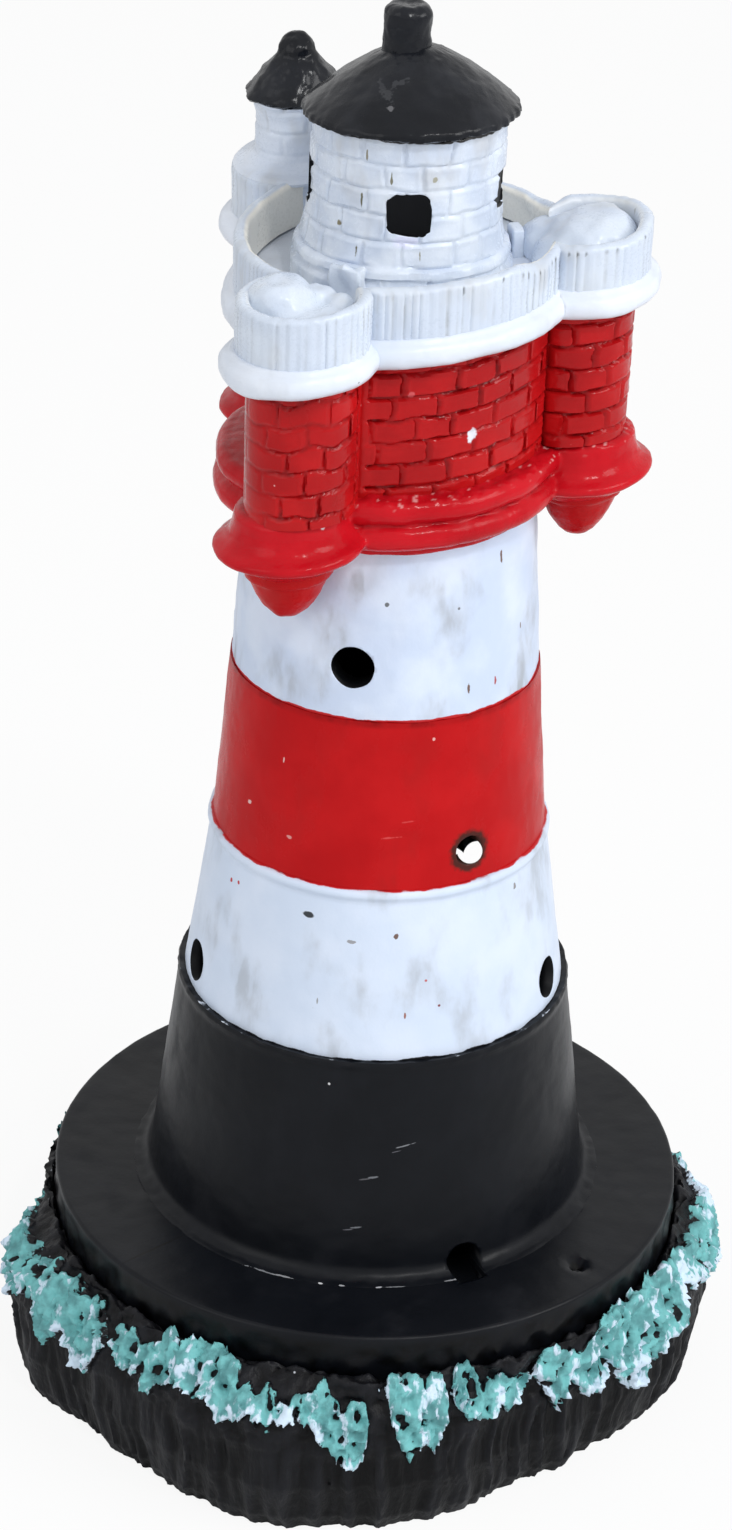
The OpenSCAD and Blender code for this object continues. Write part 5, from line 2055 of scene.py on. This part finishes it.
@dataclass
class Lantern:
    """The round house of white bricks, its black windows, domed roof and knob."""

    floor: float = 164.6
    low: float = 169.0
    top: float = 187.6
    radius: float = 12.35
    base_r: float = 13.8
    flare: float = 0.45
    windows: tuple[tuple[float, float], ...] = ((-8.5, 1.3), (95.0, 0.0), (181.2, 1.0), (273.6, 0.45))
    window_z: float = 175.2
    window_w: float = 5.6
    window_h: float = 5.4
    window_d: float = 1.0
    roof_r: float = 13.7
    roof_h: float = 8.0
    rim: float = 0.8
    bulge: float = 1.5
    tip: float = 0.03
    shift: tuple[float, float] = (0.55, 0.55)
    knob_r: float = 3.15
    knob_top: float = 201.6
    knob_x: float = -0.28
    count: int = 14
    phase: float = 0.9
    ring_z: float = 170.7
    tip_x: float = 0.5
    bricks: Brickwork = Brickwork(
        course=3.3, length=5.9, joint=0.42, depth=0.27, wander=0.3, seed=2.0, bed_mark=0.12, rare=0.93)

    def wall_r(self, up: float) -> float:
        """Returns the house's radius at a height above its first course."""
        share = max(0.0, up) / (self.top - self.low)
        return self.radius + (self.base_r - self.radius) * max(0.0, 1 - share / self.flare) ** 1.5

    def place(self, across: float, along: float) -> tuple[Vector, float]:
        """Gives a point of the house's wall.

        Args:
            across: Share of the way round.
            along: Share of the way up the wall.

        Returns:
            The point, and its joint mark from 0 to 1.
        """
        z = blend(self.floor, self.top + 1.0, along)
        up = z - self.low
        ledge = smooth(-0.25, 0.35, up)
        radius = self.wall_r(up) if up > 0 else self.base_r + 0.25
        relief, joint = self.bricks.at(across * self.count * self.bricks.length, up + self.phase, self.count)
        degrees = 360 * across
        x, y, _ = polar(radius, degrees)
        soft = 0.14 * ripple(Vector((x, y, z)), 4.0)
        sill = self.ring_z + 0.3 * noise.noise(Vector((x, y, 0)) * 0.2)
        ring = smooth(0.8, 0.45, abs(z - sill))
        radius += relief * ledge * (1 - ring) + soft + 0.25 * (1 - ledge) + 0.5 * ring
        shake = 0.25 * noise.noise(Vector((x, y, z)) * 0.2)
        spot = polar(radius, degrees, z + shake * ledge)
        spot.x += self.tip_x * smooth(170, 188, z)
        return spot, joint * ledge * (1 - ring)

    def house(self) -> bpy.types.Object:
        """Builds the brick house with its window recesses.

        Returns:
            The house.
        """
        rows = round((self.top - self.floor) / 0.26)
        casting = Casting.wrapped("lantern_wall", 340, rows, self.place, ("crevice",))
        piece = fitted(casting.lids().mesh_object(50), Finish.LANTERN, "lantern_house")
        for place in self.windows:
            bored(piece, self.window(place, 0.0, self.radius - self.window_d, 4.0, "window_cutter"))
        return piece

    def window(
        self, place: tuple[float, float], shrink: float, inner: float, depth: float, name: str,
    ) -> bpy.types.Object:
        """Makes an arched block for a window.

        Args:
            place: The window's direction, and how far it is set above the others.
            shrink: How much smaller it is than the recess.
            inner: Distance of its inner face from the tower's axis.
            depth: Its thickness.
            name: The object's name.

        Returns:
            The block.
        """
        casting = Casting(name)
        degrees, lift = place
        half = self.window_w / 2 - shrink
        bmesh.ops.create_circle(casting.bm, cap_ends=True, segments=48, radius=1.0)

        def arch(point: Vector) -> Vector:
            """Draws the round out into an arched window.

            Args:
                point: A point of the round.

            Returns:
                Its place in the arch.
            """
            side = math.copysign(abs(point.x) ** 0.42, point.x) * half
            power = 0.35 if point.y < 0 else 0.62
            rise = math.copysign(abs(point.y) ** power, point.y) * (self.window_h / 2 - shrink)
            wave = 0.22 * murmur(point.x * 3, point.y * 3, degrees)
            sag = 0.09 * side * (point.y < 0)
            return Vector((side + wave, rise - sag - wave, 0.0))

        casting.moved(arch)
        faces = bmesh.ops.extrude_face_region(casting.bm, geom=list(casting.bm.faces))["geom"]
        top = [item for item in faces if isinstance(item, bmesh.types.BMVert)]
        bmesh.ops.translate(casting.bm, verts=top, vec=(0, 0, depth))
        bmesh.ops.recalc_face_normals(casting.bm, faces=casting.bm.faces)
        upright = Matrix(((0, 0, 1, 0), (1, 0, 0, 0), (0, 1, 0, 0), (0, 0, 0, 1)))
        shift = Matrix.Translation((inner, 0, self.window_z + lift + self.window_h / 2))
        turn = Matrix.Rotation(math.radians(degrees), 4, "Z") @ shift @ upright
        bmesh.ops.transform(casting.bm, verts=casting.bm.verts, matrix=turn)
        piece = casting.mesh_object(50)
        piece.data.materials.append(Finish.WINDOW.material())
        return piece

    def panes(self) -> bpy.types.Object:
        """Builds the four black panes as one piece.

        Returns:
            The panes.
        """
        casting = Casting("window_panes")
        for place in self.windows:
            pane = self.window(place, 0.05, self.radius - self.window_d - 0.1, 0.85, "pane")
            casting.bm.from_mesh(pane.data)
            bpy.data.objects.remove(pane)
        return fitted(casting.scaled(1 / MM).mesh_object(50), Finish.WINDOW, "lantern_windows")

    def roof(self) -> bpy.types.Object:
        """Builds the domed roof.

        Returns:
            The roof.
        """
        crown = self.top + self.rim + self.roof_h
        slope = [
            ((self.roof_r - 0.1) * out, self.top + self.rim + self.roof_h * (1 - out ** self.bulge))
            for out in (1 - k / 30 for k in range(30))
        ]
        under = [(0.0, self.top + 0.4), (12.3, self.top + 0.4), (13.2, self.top - 0.15)]
        line = finely([*under, (self.roof_r, self.top + 0.1), *slope, (0.0, crown)], 0.5)
        casting = Casting.turned("lantern_roof_dome", line, 220)
        aside, lift = self.shift
        casting.relief(self.hide).moved(lambda p: p + Vector((aside, 0, lift + self.tip * p.x)))
        return fitted(casting.mesh_object(60), Finish.ROOF, "lantern_roof")

    def hide(self, point: Vector) -> float:
        """Gives the relief of the roof, ragged at its rim and lumpy round the knob.

        Args:
            point: A point of the roof.

        Returns:
            How far it stands out there, in millimetres.
        """
        rim = 1 - smooth(self.top + 0.4, self.top + 1.4, point.z)
        crown = smooth(self.top + 6.5, self.top + 8.5, point.z)
        lumps = 0.16 * ripple(point, 5.0) + 0.05 * ripple(point, 1.6)
        return lumps + 0.3 * (rim + 0.6 * crown) * ripple(Vector((point.x, point.y, 0.0)), 1.6)

    def knob(self) -> bpy.types.Object:
        """Builds the knob.

        Returns:
            The knob.
        """
        foot = self.top + self.rim + self.roof_h - 2.6
        edge = 1.25
        side, shoulder = self.knob_r - 0.15, self.knob_top - edge
        line = finely([
            (0.0, foot), (self.knob_r, foot), (self.knob_r - 0.1, foot + 2.9), (side, shoulder),
            *bow((side - edge, shoulder), edge, 10, 90, 6), (0.0, self.knob_top - 0.1),
        ], 0.35)
        casting = Casting.turned("roof_knob_stub", line, 84, Vector((self.knob_x, 0, 0)))
        casting.relief(lambda p: 0.2 * ripple(p, 2.4) + 0.06 * ripple(p, 1.0))
        return fitted(casting.mesh_object(60), Finish.ROOF, "roof_knob")


@dataclass
class DoorSteps:
    """The two small upright blocks beside the lantern house."""

    reach: float = 14.3
    depth: float = 1.6
    low: float = 166.2
    height: float = 5.6
    blocks: tuple[tuple[float, float], ...] = ((13.8, 3.3), (244.0, 4.2))

    def build(self) -> bpy.types.Object:
        """Builds both blocks as one piece.

        Returns:
            The blocks.
        """
        casting = Casting("door_blocks")
        for turn, width in self.blocks:
            size = Matrix.Diagonal((self.depth, width, self.height, 1.0))
            spot = Matrix.Translation((self.reach + self.depth / 2, 0, self.low + self.height / 2))
            place = Matrix.Rotation(math.radians(turn), 4, "Z") @ spot @ size
            bmesh.ops.create_cube(casting.bm, size=1.0, matrix=place)
        bmesh.ops.bevel(
            casting.bm, geom=list(casting.bm.edges), offset=0.3, segments=3, profile=0.5, affect="EDGES",
            material=-1,
        )
        bmesh.ops.subdivide_edges(casting.bm, edges=casting.bm.edges, cuts=3, use_grid_fill=True)
        casting.relief(lambda p: blend(0.14, 0.75, smooth(4, -2, p.x)) * ripple(p, 1.7))
        return fitted(casting.mesh_object(60), Finish.GALLERY, "door_steps")


FRONT_MOUNDS = ((-2.9, 2.1, 5.6, 7.9), (1.8, 4.4, 2.7, 6.0), (4.2, 2.4, 2.4, 5.3), (3.6, -0.6, 2.7, 4.8),
                (0.0, 0.0, 6.7, 5.0))
RIGHT_MOUNDS = ((0.9, 1.1, 6.5, 6.8), (-4.6, 4.4, 4.2, 4.4), (0.0, 0.0, 7.0, 5.0))


@dataclass
class Gallery:
    """Everything that leans with the gallery."""

    plan: Plan = field(default_factory=Plan)
    bricks: Plan = field(default_factory=lambda: Plan(oriels=BRICK_ORIELS))
    deck: Plan = field(default_factory=lambda: Plan(oriels=DECK_ORIELS))

    def build(self) -> list[bpy.types.Object]:
        """Builds the gallery from the mouldings up.

        Returns:
            Its pieces.
        """
        turret = Turret()
        return [
            Corbel(self.bricks).build(),
            Pendant(LIP_ORIELS[2], "front_drop", "pendant_front").build(),
            Pendant(Oriel(1.5, 24.8), "right_drop", "pendant_right", height=6.6, top_r=5.4).build(),
            Pendant(LIP_ORIELS[1], "rear_drop", "pendant_rear").build(),
            Storey(self.bricks).build(),
            Deck(self.deck).build(),
            Parapet(self.plan).build(),
            Cap(FRONT, "front_dome", "oriel_cap_front", FRONT_MOUNDS, lump=0.7).build(),
            Cap(RIGHT, "right_dome", "oriel_cap_right", RIGHT_MOUNDS).build(),
            turret.body(),
            turret.roof(),
        ]


# Studio


@dataclass
class Studio:
    """The camera, the pale floor and the soft lights."""

    camera_at: tuple[float, float, float] = (0.0, -450.0, 335.26)
    yaw: float = -0.26014
    pitch: float = 28.16673
    roll: float = 2.15
    lens: float = 87.29
    sensor: float = 36.0
    world_light: float = 0.58

    def camera(self) -> None:
        """Stands the camera where the photo was taken from."""
        data = bpy.data.cameras.new("camera")
        data.lens = self.lens
        data.sensor_width = self.sensor
        data.clip_start = 0.01
        data.clip_end = 10.0
        camera = placed("camera", data)
        yaw, pitch, roll = (math.radians(value) for value in (self.yaw, self.pitch, self.roll))
        forward = Vector(
            (math.sin(yaw) * math.cos(pitch), math.cos(yaw) * math.cos(pitch), -math.sin(pitch))
        )
        right = forward.cross(Vector((0, 0, 1))).normalized()
        up = right.cross(forward)
        side = right * math.cos(roll) + up * math.sin(roll)
        head = up * math.cos(roll) - right * math.sin(roll)
        turn = Matrix((side, head, -forward)).transposed().to_4x4()
        camera.matrix_world = Matrix.Translation(Vector(self.camera_at) * MM) @ turn
        bpy.context.scene.camera = camera

    def lamp(self, name: str, place: tuple[float, float, float], size: float, power: float) -> None:
        """Hangs one soft square lamp, aimed at the ornament.

        Args:
            name: The lamp's name.
            place: Where it hangs, in metres.
            size: Length of its side, in metres.
            power: Its power in watts.
        """
        data = bpy.data.lights.new(name, "AREA")
        data.shape = "SQUARE"
        data.size = size
        data.energy = power
        aim = Vector((0, 0, 0.1)) - Vector(place)
        turn = aim.to_track_quat("-Z", "Y").to_matrix().to_4x4()
        placed(name, data).matrix_world = Matrix.Translation(place) @ turn

    def backdrop(self) -> None:
        """Lights the world evenly, and shows it white to the camera and to gloss."""
        world = bpy.data.worlds.new("studio")
        bpy.context.scene.world = world
        sheet = Sheet(world)
        path = sheet.node("ShaderNodeLightPath", {}, {}, "Is Camera Ray")
        seen = path.either(path.sibling("Is Glossy Ray")).either(path.sibling("Is Transmission Ray"))
        plain, shown = (
            sheet.node("ShaderNodeBackground", {}, {"Color": (1.0, 1.0, 1.0, 1.0), "Strength": strength})
            for strength in (self.world_light, 1.0)
        )
        sheet.finish(sheet.node("ShaderNodeMixShader", {}, {0: seen, 1: plain, 2: shown}))

    def floor(self) -> None:
        """Lays the plain pale floor, which keeps the ornament's shadow."""
        casting = Casting("floor")
        bmesh.ops.create_grid(casting.bm, x_segments=1, y_segments=1, size=6000)
        piece = casting.mesh_object()
        sheet = Sheet(bpy.data.materials.new("floor_paper"))
        path = sheet.node("ShaderNodeLightPath", {}, {}, "Is Camera Ray")
        paper = sheet.node("ShaderNodeBsdfDiffuse", {}, {"Color": (0.86, 0.87, 0.88, 1.0)})
        glow = sheet.node("ShaderNodeEmission", {}, {"Color": (1.0, 1.0, 1.0, 1.0), "Strength": 1.0})
        sheet.finish(sheet.node("ShaderNodeMixShader", {}, {0: path * 0.9, 1: paper, 2: glow}))
        piece.data.materials.append(sheet.owner)

    def build(self) -> None:
        """Sets up the whole studio."""
        self.camera()
        self.backdrop()
        self.floor()
        self.lamp("key", (1.1, -0.55, 0.95), 0.7, 10.0)
        self.lamp("spark", (0.35, -0.8, 1.15), 0.12, 3.6)
        self.lamp("fill", (-0.9, -0.7, 0.7), 0.8, 2.3)
        bpy.context.scene.view_settings.view_transform = "Standard"


def main() -> None:
    """Builds the studio, then the ornament from the floor up."""
    noise.seed_set(1)
    logging.basicConfig(level=logging.INFO, format="%(name)s: %(message)s")
    Studio().build()
    rock = Rock()
    lantern = Lantern()
    rock.build()
    Surf(rock).build()
    Plinth().build()
    Tower().build()
    Gallery().build()
    for part in (lantern.house, lantern.panes, lantern.roof, lantern.knob):
        part()
    DoorSteps().build()
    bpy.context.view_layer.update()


if __name__ == "__main__":
    main()
